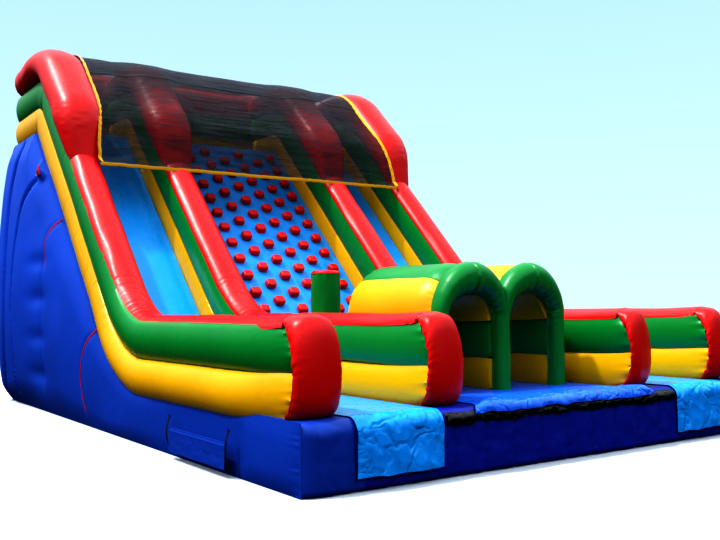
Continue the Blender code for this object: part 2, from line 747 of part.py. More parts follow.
def make_popup(floor):
    """A column on a round foot, so that it can sway about the centre of the foot."""
    pivot = (popup_x, popup_y, floor + popup_radius)
    top = floor + popup_height
    angles = [popup_foot_start] + [math.pi / 2 * k / popup_foot_steps for k in range(1, popup_foot_steps + 1)]
    foot = [(popup_radius * math.sin(a), pivot[2] - popup_radius * math.cos(a)) for a in angles]
    cap_low = top - popup_cap_height
    cap = [(popup_radius * u, cap_low + popup_cap_height * t) for u, t in popup_cap_profile]
    bodies = [("popup_column", foot + [(popup_radius, cap_low - seat_gap)], "green_vinyl"),
              ("popup_cap", cap, "red_vinyl")]
    for name, profile, finish in bodies:
        rings = []
        for radius, z in profile:
            turns = [2 * math.pi * k / popup_sides for k in range(popup_sides)]
            rings.append([(popup_x + radius * math.cos(a), popup_y + radius * math.sin(a), z) for a in turns])
        add_object(name, bridge_rings(rings), finish, origin=pivot)


def make_anchor(side, word):
    """A sewn triangular patch with a webbing loop, and the steel ring that hangs in the loop."""
    face = panel_face_x + seat_gap
    corners = [(anchor_y - patch_width / 2, anchor_height), (anchor_y + patch_width / 2, anchor_height),
               (anchor_y, anchor_height + patch_rise)]
    plate = prism(corners, side * face, side * (face + patch_thickness))
    patch = add_object(f"anchor_patch_{word}", plate, "red_vinyl", smooth=False)
    hole = ring_wire_radius + ring_clearance
    bar_x = face + loop_reach - loop_wall - hole
    bar_z = anchor_height + patch_rise * loop_rise_share
    low_x, high_x = sorted((side * (face + patch_thickness / 2), side * (face + loop_reach)))
    cut(patch, box((low_x, anchor_y - loop_length / 2, bar_z - loop_thickness / 2),
                   (high_x, anchor_y + loop_length / 2, bar_z + loop_thickness / 2)), "UNION")
    cut(patch, cylinder((side * bar_x, anchor_y, bar_z), (0, 1, 0), hole, 2 * loop_length, 16), "DIFFERENCE")
    half = loop_length / 2 + ring_clearance + ring_wire_radius
    sweep = [(half * math.cos(a), -(ring_reach - half) - half * math.sin(a))
             for a in (math.pi * k / ring_bend_steps for k in range(ring_bend_steps + 1))]
    route = [(-half, 0.0), (half, 0.0)] + sweep
    pivot = (side * bar_x, anchor_y, bar_z)
    route = [(pivot[0], anchor_y + y, bar_z + z) for y, z in route]
    add_object(f"anchor_ring_{word}", closed_wire(route), "zinc_steel", origin=pivot)


def closed_wire(route):
    """A round wire along a closed route that lies in a plane of constant x, mitred at every point."""
    shape = bmesh.new()
    count = len(route)
    loops = []
    for k in range(count):
        here = Vector(route[k])
        into = (here - Vector(route[k - 1])).normalized()
        away = (Vector(route[(k + 1) % count]) - here).normalized()
        mitre = (into + away).normalized()
        across = mitre.cross(Vector((1.0, 0.0, 0.0)))
        stretch = 1.0 / max(mitre.dot(into), sharpest_mitre)
        ring = []
        for turn in (2 * math.pi * n / ring_wire_sides for n in range(ring_wire_sides)):
            spoke = across * math.cos(turn) * stretch + Vector((1.0, 0.0, 0.0)) * math.sin(turn)
            ring.append(shape.verts.new(here + spoke * ring_wire_radius))
        loops.append(ring)
    for near, far in zip(loops, loops[1:] + loops[:1]):
        for n in range(ring_wire_sides):
            m = (n + 1) % ring_wire_sides
            shape.faces.new((near[n], near[m], far[m], far[n]))
    return shape


def make_zip():
    """The deflation zip low on the left side: tape, slider, rain flap on its keeper, and two straps."""
    face = -(panel_face_x + seat_gap)
    end_y = zip_front_y + zip_length
    add_object("zip_tape", box((face - zip_tape_thickness, zip_front_y, zip_height - zip_tape_width / 2),
                               (face, end_y, zip_height + zip_tape_width / 2)), "black_webbing")
    slide_x = face - zip_tape_thickness - seat_gap
    start_y = zip_front_y + slider_length
    low = (slide_x - slider_thickness, start_y - slider_length / 2, zip_height - slider_width / 2)
    high = (slide_x, start_y + slider_length / 2, zip_height + slider_width / 2)
    add_object("zip_slider", box(low, high), "zinc_steel", origin=(slide_x, start_y, zip_height))
    flap_x = face - flap_stand_off - flap_thickness / 2
    radius = flap_thickness / 2
    hinge = (flap_x, zip_front_y, flap_hinge_height)
    nose = arc((flap_x, flap_hinge_height), radius, 0.0, math.pi, 6)
    hem = flap_hinge_height - flap_drop
    outline = nose + [(flap_x - radius, hem), (flap_x + radius, hem)]
    add_object("zip_flap", cross_prism(outline, zip_front_y, end_y), "blue_vinyl", origin=hinge)
    keeper_low = flap_hinge_height - keeper_height / 2
    add_object("flap_keeper", box((face - flap_stand_off + seat_gap, zip_front_y, keeper_low),
                                  (face, end_y, keeper_low + keeper_height)), "blue_vinyl")
    for word, middle in (("front", zip_front_y - strap_side_gap - strap_width / 2),
                         ("rear", end_y + strap_side_gap + strap_width / 2)):
        length = strap_top - strap_bottom
        shares = [k / strap_steps for k in range(strap_steps + 1)]
        inside = [(face - strap_bow * math.sin(math.pi * t), strap_bottom + length * t) for t in shares]
        outside = [(x - strap_thickness, z) for x, z in inside]
        add_object(f"carry_strap_{word}", cross_prism(inside + outside[::-1], middle - strap_width / 2,
                                                      middle + strap_width / 2), "black_webbing")


def make_sleeves():
    """Round fabric sleeves that bring the air in, open at the rear."""
    start = base_length + seat_gap + rear_panel_depth + seat_gap
    for side, word in ((-1, "left"), (1, "right")):
        shape = bmesh.new()
        loops = []
        inside = sleeve_radius - sleeve_wall
        end = start + sleeve_length
        for radius, y in ((sleeve_radius, start), (sleeve_radius, end), (inside, end), (inside, start)):
            loop = []
            for turn in (2 * math.pi * k / sleeve_sides for k in range(sleeve_sides)):
                x = side * sleeve_x + radius * math.cos(turn)
                loop.append(shape.verts.new((x, y, sleeve_height + radius * math.sin(turn))))
            loops.append(loop)
        for near, far in zip(loops, loops[1:] + loops[:1]):
            for k in range(sleeve_sides):
                shape.faces.new((near[k], near[(k + 1) % sleeve_sides], far[(k + 1) % sleeve_sides], far[k]))
        add_object(f"inlet_sleeve_{word}", shape, "blue_vinyl")


def build():
    clear_scene()
    make_base()
    make_tower_core()
    make_side_panels()
    make_rear_panel()
    make_lane_beds()
    make_climbing_wall()
    make_sheets()
    for number, x in enumerate((-outer_wall_x, -wall_pitch, wall_pitch, outer_wall_x), start=1):
        make_wall(x, str(number))
        make_hood(x, str(number))
    make_rear_wall()
    make_canopy()
    tunnel_floor = base_height + seat_gap + sheet_thickness + seat_gap
    make_arches(tunnel_floor)
    make_tunnel_walls(tunnel_floor)
    make_popup(tunnel_floor)
    for side, word in ((-1, "left"), (1, "right")):
        make_anchor(side, word)
    make_zip()
    make_sleeves()


build()
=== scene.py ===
import json
import math

import bpy
import numpy as np
from mathutils import Matrix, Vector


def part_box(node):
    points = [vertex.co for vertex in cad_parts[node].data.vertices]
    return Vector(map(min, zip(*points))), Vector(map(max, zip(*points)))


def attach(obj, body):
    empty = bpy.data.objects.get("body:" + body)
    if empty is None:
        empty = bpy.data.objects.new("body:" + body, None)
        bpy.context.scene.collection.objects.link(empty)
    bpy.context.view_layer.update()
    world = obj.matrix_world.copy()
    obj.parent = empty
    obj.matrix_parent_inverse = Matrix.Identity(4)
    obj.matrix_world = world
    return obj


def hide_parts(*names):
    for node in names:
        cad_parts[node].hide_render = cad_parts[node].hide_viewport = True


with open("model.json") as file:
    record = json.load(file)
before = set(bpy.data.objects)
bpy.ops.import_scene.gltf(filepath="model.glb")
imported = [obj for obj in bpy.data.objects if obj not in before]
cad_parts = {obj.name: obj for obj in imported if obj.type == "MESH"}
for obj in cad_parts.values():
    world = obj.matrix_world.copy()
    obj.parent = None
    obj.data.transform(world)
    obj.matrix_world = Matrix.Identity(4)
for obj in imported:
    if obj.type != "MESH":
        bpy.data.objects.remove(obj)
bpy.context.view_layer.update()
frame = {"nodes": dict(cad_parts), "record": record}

# Sizes that follow the frame
base_low, base_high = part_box("base_platform")
front = base_low.y
floor = base_high.z
back = base_high.y
core_half = base_high.x
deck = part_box("tower_core")[1].z
rear_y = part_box("rear_panel")[1].y
panel_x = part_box("side_panel_right")[1].x
wall_low, wall_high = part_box("wall_3_green")
wall_x = (wall_low.x + wall_high.x) / 2
wall_half = (wall_high.x - wall_low.x) / 2
wall_xs = [-2 * wall_x, -wall_x, wall_x, 2 * wall_x]
inner_back = wall_high.y
hood_half = (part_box("hood_3")[1].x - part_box("hood_3")[0].x) / 2
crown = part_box("hood_3")[1].z

# Rail line and the bands on it
slope = math.radians(45.0)
foot = front + 4.86
head = foot + (deck - floor) / math.tan(slope)
rail_bend = 2.4
head_bend = 0.12
yellow_top = 0.43
green_top = 0.88
cap_height = 0.080
cap_half = 0.222
seam_share = 0.77
top_seam_share = 0.76

# Edges of the base and the side panels that bend by more than this, in degrees, are shaded hard
corner_crease = 35.0

# Front end cushions: where the seam and the nose are, as (distance behind the base's front, height)
seam_curve = [(0.40, 0.0), (0.27, 0.16), (0.22, 0.41), (0.28, 0.68), (0.42, 0.875)]
nose_curve = [(0.36, 0.0), (0.22, 0.04), (0.14, 0.12), (0.10, 0.25), (0.09, 0.45), (0.11, 0.66),
              (0.155, 0.82), (0.24, 0.92), (0.42, green_top + cap_height)]
nose_insets = [0.03, 0.06, 0.07, 0.06]
nose_skews = [0.0, 0.035, 0.06, 0.04]

# Hoods and canopy
hood_foot = (front + 6.82, 3.825)
hood_brow = (front + 6.89, 4.74)
hood_spread = 0.30
hood_seat_length = 0.42
inner_hood_sink = 0.06
canopy_hem = (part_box("canopy_hem")[0].y + 0.004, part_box("canopy_mesh")[0].z)
canopy_crown = deck + green_top + 0.90 * (crown - deck - green_top)
canopy_half = 2 * wall_x - 0.34
hem_half = 2 * wall_x - 0.20
flank_drop = 0.10
canopy_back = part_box("canopy_mesh")[1].y

# Colours of the coated fabric, as the eye sees them
red = "#E00404"
green = "#008A3C"
yellow = "#EAB000"
royal_blue = "#0E56CC"
mat_blue = "#2872EE"
# Painted shade: the royal blue of the base's front, drawn darker for the front that the light hardly reaches
shaded_front_blue = "#0828A0"
light_blue = "#0CA4FA"
wall_blue = "#2698E8"
charcoal = "#121418"


# Numbers and lines

def noise(x, y, seed):
    """Random heights from -1 to 1 on a unit lattice, joined by the blend t * t * (3 - 2 * t)."""
    table = np.random.default_rng(seed).uniform(-1.0, 1.0, (128, 128))
    x, y = np.broadcast_arrays(np.asarray(x, float), np.asarray(y, float))
    i, j = np.floor(x).astype(int), np.floor(y).astype(int)
    s, t = x - i, y - j
    s, t = s * s * (3 - 2 * s), t * t * (3 - 2 * t)
    near = table[i % 128, j % 128] * (1 - s) + table[(i + 1) % 128, j % 128] * s
    far = table[i % 128, (j + 1) % 128] * (1 - s) + table[(i + 1) % 128, (j + 1) % 128] * s
    return near * (1 - t) + far * t


def crinkle(x, y, seed):
    """Sharp folds: one minus the size of two layers of noise, so that ridges run where they cross zero."""
    folds = 1 - 2 * np.abs(noise(x, y, seed))
    return 0.65 * folds + 0.35 * (1 - 2 * np.abs(noise(2.3 * x + 7.1, 2.3 * y + 3.7, seed + 1)))


def fade(distance, reach):
    """One at no distance, falling as exp(-(distance / reach))."""
    return np.exp(-np.abs(distance) / reach)


def rise(value, low, high):
    """From 0 at low to 1 at high, by t * t * (3 - 2 * t)."""
    t = np.clip((value - low) / (high - low), 0.0, 1.0)
    return t * t * (3 - 2 * t)


def grooves(value, places, width, depth):
    """Narrow valleys of the shape exp(-(distance / width) ** 2) at each place."""
    total = np.zeros_like(np.asarray(value, float))
    for place in places:
        total = total - depth * np.exp(-((value - place) / width) ** 2)
    return total


def spread_places(low, high, spacing, seed):
    """Places about evenly spaced between low and high, each moved by up to a third of the spacing."""
    count = max(int((high - low) / spacing), 1)
    shift = np.random.default_rng(seed).uniform(-0.33, 0.33, count)
    return low + (np.arange(count) + 0.5 + shift) * (high - low) / count


def curve_through(points, count):
    """A smooth line of cubic pieces through the points, its slope at each half the span of the neighbours."""
    points = np.asarray(points, float)
    ends = np.vstack([2 * points[0] - points[1], points, 2 * points[-1] - points[-2]])
    place = np.linspace(0, len(points) - 1, count)
    k = np.minimum(place.astype(int), len(points) - 2)
    t = (place - k)[:, None]
    a, b, c, d = ends[k], ends[k + 1], ends[k + 2], ends[k + 3]
    squared = (2 * a - 5 * b + 4 * c - d) * t ** 2
    cubed = (3 * b - a - 3 * c + d) * t ** 3
    return 0.5 * (2 * b + (c - a) * t + squared + cubed)


def bent_line(corners, radii, arc_points=40):
    """Straight runs joined by arcs that touch them, with the unit normal on the left of each point."""
    corners = [np.array(c, float) for c in corners]
    runs = [math.atan2(b[1] - a[1], b[0] - a[0]) for a, b in zip(corners, corners[1:])]
    points, headings = [corners[:1]], [[runs[0]]]
    for corner, radius, before, after in zip(corners[1:-1], radii, runs, runs[1:]):
        turn = math.remainder(after - before, 2 * math.pi)
        side = math.copysign(1.0, turn)
        start = corner - radius * math.tan(abs(turn) / 2) * np.array([math.cos(before), math.sin(before)])
        centre = start + side * radius * np.array([-math.sin(before), math.cos(before)])
        angle = np.linspace(before, before + turn, arc_points)
        points.append(centre + side * radius * np.column_stack([np.sin(angle), -np.cos(angle)]))
        headings.append(angle)
    points.append(corners[-1:])
    headings.append([runs[-1]])
    heading = np.concatenate(headings)
    return np.vstack(points), np.column_stack([-np.sin(heading), np.cos(heading)])


def distances(line):
    """How far along a line each of its points is."""
    steps = np.linalg.norm(np.diff(line, axis=0), axis=1)
    return np.concatenate([[0.0], np.cumsum(steps)])


def sample(line, normals, places, lift):
    """The line's points and normals at places measured along the line moved outwards by lift."""
    run = distances(line + normals * lift)
    points = np.column_stack([np.interp(places, run, line[:, k]) for k in (0, 1)])
    turned = np.column_stack([np.interp(places, run, normals[:, k]) for k in (0, 1)])
    return points, turned / np.linalg.norm(turned, axis=1, keepdims=True)


def graded(length, zone, fine, coarse):
    """Places from 0 to length, fine steps apart up to zone and coarse steps apart after it."""
    close = np.arange(0.0, zone, fine)
    return np.concatenate([close, np.linspace(zone, length, int((length - zone) / coarse) + 2)])


def with_detail(places, joints, reach=0.035, count=13):
    """The places, and close ones on both sides of each joint, in order."""
    near = np.asarray(joints)[:, None] + np.linspace(-reach, reach, count)[None, :]
    near = near[(near > places[0]) & (near < places[-1])]
    return np.unique(np.round(np.concatenate([places, near.ravel()]), 5))


def rail_line(start, end):
    """The rail line from y = start to y = end, with its outward normals."""
    return bent_line([(start, floor), (foot, floor), (head, deck), (end, deck)], [rail_bend, head_bend])


def rail(start, end, lift, joints, zone=0.0, fine=0.01, coarse=0.03):
    """The rail line from start to end: its points, outward normals and distances, measured at lift."""
    line, normals = rail_line(start, end)
    places = graded(distances(line + normals * lift)[-1], zone, fine, coarse)
    places = with_detail(places, joints)
    return (*sample(line, normals, places, lift), places)


def rail_between(start, end, lift, count):
    """Evenly spaced points of the rail line moved out by lift, from y = start to y = end."""
    line, normals = rail_line(front, rear_y)
    moved = line + normals * lift
    run = distances(moved)
    low, high = np.interp([start, end], moved[:, 0], run)
    places = np.linspace(low, high, count)
    return np.column_stack([np.interp(places, run, moved[:, k]) for k in (0, 1)])


def rounded(angle, squareness):
    """cos and sin raised to 2 / squareness with their signs kept: a circle at 2, boxier above it."""
    c, s = np.cos(angle), np.sin(angle)
    return np.sign(c) * np.abs(c) ** (2 / squareness), np.sign(s) * np.abs(s) ** (2 / squareness)


# Meshes

def wrapped_normals(grid, around):
    """Unit normals of a grid of points, pointing away from each ring's middle where the rings are closed."""
    along = np.gradient(grid, axis=0)
    if around:
        across = np.roll(grid, -1, axis=1) - np.roll(grid, 1, axis=1)
    else:
        across = np.gradient(grid, axis=1)
    normal = np.cross(along, across)
    normal /= np.maximum(np.linalg.norm(normal, axis=2, keepdims=True), 1e-9)
    if around and np.sum(normal * (grid - grid.mean(axis=1, keepdims=True))) < 0:
        normal = -normal
    return normal


def pushed(grid, height, around=True):
    """The grid moved along its normals by a height for each point."""
    return grid + wrapped_normals(grid, around) * height[..., None]


def finish_mesh(name, points, faces, crease=50.0):
    """A mesh object of the points and faces, turned so that its enclosed volume is positive."""
    triangles = np.array([f[:3] for f in faces] + [(f[0], f[2], f[3]) for f in faces if len(f) == 4])
    a, b, c = (points[triangles[:, k]] - points.mean(axis=0) for k in range(3))
    if np.einsum("ij,ij->i", a, np.cross(b, c)).sum() < 0:
        faces = [face[::-1] for face in faces]
    mesh = bpy.data.meshes.new(name)
    mesh.from_pydata(points.tolist(), [], faces)
    mesh.shade_smooth()
    mesh.set_sharp_from_angle(angle=math.radians(crease))
    made = bpy.data.objects.new(name, mesh)
    bpy.context.scene.collection.objects.link(made)
    return made


def grid_faces(rows, columns, around, start=0):
    """Four-sided faces between the neighbours of a grid, whose rows close on themselves if around is set."""
    i = np.arange(rows - 1)[:, None]
    j = np.arange(columns if around else columns - 1)[None, :]
    k = (j + 1) % columns
    corners = [i * columns + j, i * columns + k, (i + 1) * columns + k, (i + 1) * columns + j]
    return (np.stack(corners, axis=-1).reshape(-1, 4) + start).tolist()


def tube(name, rings, crease=50.0):
    """A closed body through rings of points, with each end shut by a fan about its middle."""
    rows, columns = rings.shape[:2]
    points = np.vstack([rings.reshape(-1, 3), rings[0].mean(axis=0), rings[-1].mean(axis=0)])
    faces = grid_faces(rows, columns, True)
    last = (rows - 1) * columns
    for k in range(columns):
        n = (k + 1) % columns
        faces.append([rows * columns, n, k])
        faces.append([rows * columns + 1, last + k, last + n])
    return finish_mesh(name, points, faces, crease)


def slab(name, outer, inner, crease=50.0):
    """A closed body between two grids of the same size, joined round their edges."""
    rows, columns = outer.shape[:2]
    half = rows * columns
    faces = grid_faces(rows, columns, False)
    faces += [face[::-1] for face in grid_faces(rows, columns, False, half)]
    top, bottom = np.arange(columns), np.arange((rows - 1) * columns, half)
    left, right = np.arange(0, half, columns), np.arange(columns - 1, half, columns)
    rim = np.concatenate([top, right[1:], bottom[::-1][1:], left[::-1][1:]])
    faces += [[a, a + half, b + half, b] for a, b in zip(rim.tolist(), rim[1:].tolist())]
    return finish_mesh(name, np.vstack([outer.reshape(-1, 3), inner.reshape(-1, 3)]), faces, crease)


def sheet_of(name, grid, thickness):
    """A thin sheet: the grid and its copy moved back along the normals by the thickness."""
    return slab(name, grid, pushed(grid, np.full(grid.shape[:2], -thickness), around=False))


def ribbon(name, line, across, width, thickness):
    """A flat strip along a line of 3-D points, width wide in the directions given by across."""
    shares = np.array([-0.5, -0.17, 0.17, 0.5])
    grid = line[:, None, :] + across[:, None, :] * (shares * width)[None, :, None]
    return sheet_of(name, grid, thickness)


def merge(name, parts):
    """One object of several, with their points put together."""
    bpy.context.view_layer.update()
    points, faces, start = [], [], 0
    for part in parts:
        count = len(part.data.vertices)
        own = np.empty(count * 3)
        part.data.vertices.foreach_get("co", own)
        points.append(own.reshape(-1, 3))
        faces += [[start + v for v in face.vertices] for face in part.data.polygons]
        start += count
        bpy.data.objects.remove(part, do_unlink=True)
    mesh = bpy.data.meshes.new(name)
    mesh.from_pydata(np.vstack(points).tolist(), [], faces)
    mesh.shade_smooth()
    mesh.set_sharp_from_angle(angle=math.radians(50.0))
    made = bpy.data.objects.new(name, mesh)
    bpy.context.scene.collection.objects.link(made)
    return made


def dress(piece, finish, slot, *nodes, body="slide"):
    """Give a piece its finish, let it ride on its body and stand for its nodes."""
    piece.data.materials.clear()
    piece.data.materials.append(finish)
    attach(piece, body)
    if nodes:
        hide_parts(*nodes)
    return piece


# Finishes

def linear(colour, strength=1.0):
    """An sRGB hex colour as linear red, green, blue and alpha."""
    channels = [int(colour[k:k + 2], 16) / 255 for k in (1, 3, 5)]
    values = [c / 12.92 if c <= 0.04045 else ((c + 0.055) / 1.055) ** 2.4 for c in channels]
    return (*[v * strength for v in values], 1.0)


def add(tree, kind, values=None, links=None, **settings):
    """A new node with its settings, its inputs' values and its inputs' links."""
    made = tree.nodes.new(kind)
    for name, value in settings.items():
        setattr(made, name, value)
    for name, value in (values or {}).items():
        made.inputs[name].default_value = value
    for name, source in (links or {}).items():
        tree.links.new(source, made.inputs[name])
    return made


def new_finish(name):
    """An empty material with its shader, and the Object coordinates in metres."""
    made = bpy.data.materials.new(name)
    made.use_nodes = True
    tree = made.node_tree
    shader = tree.nodes["Principled BSDF"]
    place = add(tree, "ShaderNodeTexCoord").outputs["Object"]
    return made, tree, shader, place


def coated_fabric(name, colour, roughness=0.36, shade_at_ground=1.0, end_colour=None, end_place=0.0):
    """PVC-coated polyester fabric, calendered to a soft gloss.

    The eye sees an even, saturated colour that fades a little in wide patches, a gloss that varies where
    the coating is scuffed, and shallow ripples of the stretched cloth, about 90 mm across.  The threads,
    about 1 mm apart, are too fine to show.  Shade at ground is painted shade: how much of the colour is
    left at the ground, the cloth drawn darker low down, from where it brightens to the full colour over
    2.5 m.  Cloth of the end colour, dimmed by the end shade, is sewn on further out than the end place;
    that dimming is painted shade, matched to the side panels' painted shade near the ground.
    """
    # Painted shade: the end colour is dimmed to match the side panels' painted shade near the ground
    end_shade = 0.64
    ripple_depth = 0.004
    made, tree, shader, place = new_finish(name)
    patches = add(tree, "ShaderNodeTexNoise", {"Scale": 1 / 0.7, "Detail": 3.0}, {"Vector": place})
    faded = add(tree, "ShaderNodeMix", {6: linear(colour, 0.86), 7: linear(colour, 1.10)},
                {0: patches.outputs["Fac"]}, data_type="RGBA")
    apart = add(tree, "ShaderNodeSeparateXYZ", links={0: place})
    # Painted shade: the colour is darkened towards the ground, clearing to full colour at 2.5 m
    painted_ground_shade = add(tree, "ShaderNodeMapRange", {1: 0.0, 2: 2.5, 3: shade_at_ground, 4: 1.0}, {0: apart.outputs["Z"]})
    cloth = faded.outputs[2]
    if end_colour:
        sideways = add(tree, "ShaderNodeMath", links={0: apart.outputs["X"]}, operation="ABSOLUTE")
        ended = add(tree, "ShaderNodeMath", {1: end_place}, {0: sideways.outputs[0]},
                    operation="GREATER_THAN")
        cloth = add(tree, "ShaderNodeMix", {7: linear(end_colour, end_shade)},
                    {0: ended.outputs[0], 6: cloth}, data_type="RGBA").outputs[2]
    tint = add(tree, "ShaderNodeMix", {0: 1.0}, {6: cloth, 7: painted_ground_shade.outputs[0]}, data_type="RGBA",
               blend_type="MULTIPLY")
    tree.links.new(tint.outputs[2], shader.inputs["Base Color"])
    shader.inputs["Specular IOR Level"].default_value = 0.42
    scuffs = add(tree, "ShaderNodeTexNoise", {"Scale": 1 / 0.12, "Detail": 3.0}, {"Vector": place})
    gloss = add(tree, "ShaderNodeMapRange", {3: roughness - 0.07, 4: roughness + 0.07},
                {0: scuffs.outputs["Fac"]})
    tree.links.new(gloss.outputs[0], shader.inputs["Roughness"])
    wide = add(tree, "ShaderNodeTexNoise", {"Scale": 1 / 0.09, "Detail": 1.0}, {"Vector": place})
    soft = add(tree, "ShaderNodeBump", {"Strength": 0.5, "Distance": ripple_depth},
               {"Height": wide.outputs["Fac"]})
    tree.links.new(soft.outputs["Normal"], shader.inputs["Normal"])
    return made


def loose_vinyl(name, colour):
    """Unbacked PVC sheet, left slack, so that it creases.

    The eye sees bright crinkles 60 to 220 mm apart over a glossy, even colour.  Above the run-out, from
    0.8 to 1.1 m, the sheet is drawn flatter and they fade.
    """
    made, tree, shader, place = new_finish(name)
    bent = add(tree, "ShaderNodeTexNoise", {"Scale": 1 / 0.30, "Detail": 2.0}, {"Vector": place})
    shifted = add(tree, "ShaderNodeMix", {0: 0.40}, {4: place, 5: bent.outputs["Color"]}, data_type="VECTOR")
    creases = add(tree, "ShaderNodeTexVoronoi", {"Scale": 1 / 0.22}, {"Vector": shifted.outputs[1]},
                  feature="DISTANCE_TO_EDGE")
    fold = add(tree, "ShaderNodeMapRange", {1: 0.0, 2: 0.16}, {0: creases.outputs["Distance"]})
    tint = add(tree, "ShaderNodeMix", {6: linear(colour, 1.12), 7: linear(colour, 0.92)},
               {0: bent.outputs["Fac"]}, data_type="RGBA")
    tree.links.new(tint.outputs[2], shader.inputs["Base Color"])
    height = add(tree, "ShaderNodeSeparateXYZ", links={0: place}).outputs["Z"]
    slack = add(tree, "ShaderNodeMapRange", {1: 0.8, 2: 1.1, 3: 0.7, 4: 0.12}, {0: height})
    first = add(tree, "ShaderNodeBump", {"Distance": 0.014},
                {"Height": fold.outputs[0], "Strength": slack.outputs[0]})
    fine = add(tree, "ShaderNodeTexNoise", {"Scale": 1 / 0.06, "Detail": 1.0}, {"Vector": place})
    second = add(tree, "ShaderNodeBump", {"Strength": 0.3, "Distance": 0.003},
                 {"Height": fine.outputs["Fac"], "Normal": first.outputs["Normal"]})
    tree.links.new(second.outputs["Normal"], shader.inputs["Normal"])
    shader.inputs["Roughness"].default_value = 0.26
    return made


def knitted_mesh(name):
    """Knitted polyester safety net with 2 mm holes, too fine to show, so it is drawn as an even veil.

    The eye sees a dark, see-through cloth that glints along its fine cross wrinkles.
    """
    made, tree, shader, place = new_finish(name)
    flat = add(tree, "ShaderNodeMapping", {"Scale": (0.12, 1.0, 1.0)}, {"Vector": place})
    wrinkle = add(tree, "ShaderNodeTexNoise", {"Scale": 1 / 0.05, "Detail": 4.0}, {"Vector": flat.outputs[0]})
    tint = add(tree, "ShaderNodeMix", {6: linear("#07050B"), 7: linear("#2C2936")},
               {0: wrinkle.outputs["Fac"]}, data_type="RGBA")
    tree.links.new(tint.outputs[2], shader.inputs["Base Color"])
    bump = add(tree, "ShaderNodeBump", {"Strength": 0.6, "Distance": 0.012},
               {"Height": wrinkle.outputs["Fac"]})
    tree.links.new(bump.outputs["Normal"], shader.inputs["Normal"])
    folded = add(tree, "ShaderNodeMapRange", {1: 0.38, 2: 0.68, 3: 0.24, 4: 0.52},
                 {0: wrinkle.outputs["Fac"]})
    height = add(tree, "ShaderNodeSeparateXYZ", links={0: place}).outputs["Z"]
    doubled = add(tree, "ShaderNodeMapRange", {1: 5.0, 2: 5.8, 3: 0.0, 4: 0.28}, {0: height})
    cover = add(tree, "ShaderNodeMath", links={0: folded.outputs[0], 1: doubled.outputs[0]}, operation="ADD")
    tree.links.new(cover.outputs[0], shader.inputs["Alpha"])
    shader.inputs["Roughness"].default_value = 0.6
    return made


def woven_webbing(name, colour):
    """Polyester webbing in a plain weave, its 2 mm ribs drawn 5 mm apart so that they show."""
    made, tree, shader, place = new_finish(name)
    ribs = add(tree, "ShaderNodeTexWave", {"Scale": 0.314 / 0.005, "Distortion": 1.5}, {"Vector": place},
               bands_direction="DIAGONAL")
    tint = add(tree, "ShaderNodeMix", {6: linear(colour, 0.5), 7: linear(colour, 1.6)},
               {0: ribs.outputs["Fac"]}, data_type="RGBA")
    tree.links.new(tint.outputs[2], shader.inputs["Base Color"])
    bump = add(tree, "ShaderNodeBump", {"Strength": 0.5, "Distance": 0.001}, {"Height": ribs.outputs["Fac"]})
    tree.links.new(bump.outputs["Normal"], shader.inputs["Normal"])
    shader.inputs["Roughness"].default_value = 0.6
    return made


def zinc_plated_steel(name):
    """Drawn steel wire with bright zinc plating: grey metal, dulled in small blooms about 8 mm across."""
    made, tree, shader, place = new_finish(name)
    bloom = add(tree, "ShaderNodeTexNoise", {"Scale": 1 / 0.008, "Detail": 3.0}, {"Vector": place})
    tint = add(tree, "ShaderNodeMix", {6: linear("#8E9196"), 7: linear("#C9CCD0")},
               {0: bloom.outputs["Fac"]}, data_type="RGBA")
    tree.links.new(tint.outputs[2], shader.inputs["Base Color"])
    dull = add(tree, "ShaderNodeMapRange", {3: 0.25, 4: 0.5}, {0: bloom.outputs["Fac"]})
    tree.links.new(dull.outputs[0], shader.inputs["Roughness"])
    shader.inputs["Metallic"].default_value = 1.0
    return made


finishes = {
    "red_vinyl": coated_fabric("red coated fabric", red),
    "green_vinyl": coated_fabric("green coated fabric", green),
    "yellow_vinyl": coated_fabric("yellow coated fabric", yellow),
    # The 0.6 is painted shade: this royal blue is drawn darker towards the ground
    "blue_vinyl": coated_fabric("royal blue coated fabric", royal_blue, 0.50, 0.6),
    "liner_vinyl": loose_vinyl("light blue vinyl sheet", light_blue),
    "black_webbing": woven_webbing("black webbing", charcoal),
    "mesh_fabric": knitted_mesh("dark knitted mesh"),
    "zinc_steel": zinc_plated_steel("zinc plated steel"),
}
wall_fabric = coated_fabric("mid blue coated fabric", wall_blue, 0.38)
# The base's front in painted shade: darker blue in the middle and, past the end place, royal blue dimmed as
# painted shade
base_fabric = coated_fabric("royal blue coated fabric, front painted in shade", shaded_front_blue, 0.45, end_colour=royal_blue,
                            end_place=2 * wall_x - wall_half - 0.10)
mat_vinyl = loose_vinyl("royal blue vinyl sheet", mat_blue)
black_vinyl = loose_vinyl("black vinyl strip", charcoal)
slots = {entry["node"]: entry["material_slot"] for entry in frame["record"]["subparts"]}
for node, solid in frame["nodes"].items():
    solid.data.materials.clear()
    solid.data.materials.append(finishes[slots[node]])


# Camera, light and floor

def make_camera():
    """The photograph's view: a 43 mm lens on a 36 mm wide frame, at eye height in front of the left side."""
    yaw, pitch, roll = 0.603, 0.041, -0.012
    spot = (-7.008, front - 6.290, 1.628)
    forward = np.array([math.sin(yaw) * math.cos(pitch), math.cos(yaw) * math.cos(pitch), math.sin(pitch)])
    right = np.array([math.cos(yaw), -math.sin(yaw), 0.0])
    up = np.cross(right, forward)
    turned = right * math.cos(roll) + up * math.sin(roll)
    up = up * math.cos(roll) - right * math.sin(roll)
    data = bpy.data.cameras.new("camera")
    data.lens = 43.39
    data.sensor_width = 36.0
    data.clip_end = 400.0
    camera = bpy.data.objects.new("camera", data)
    pose = Matrix.Identity(4)
    for row in range(3):
        pose[row] = (turned[row], up[row], -forward[row], spot[row])
    camera.matrix_world = pose
    bpy.context.scene.collection.objects.link(camera)
    bpy.context.scene.camera = camera


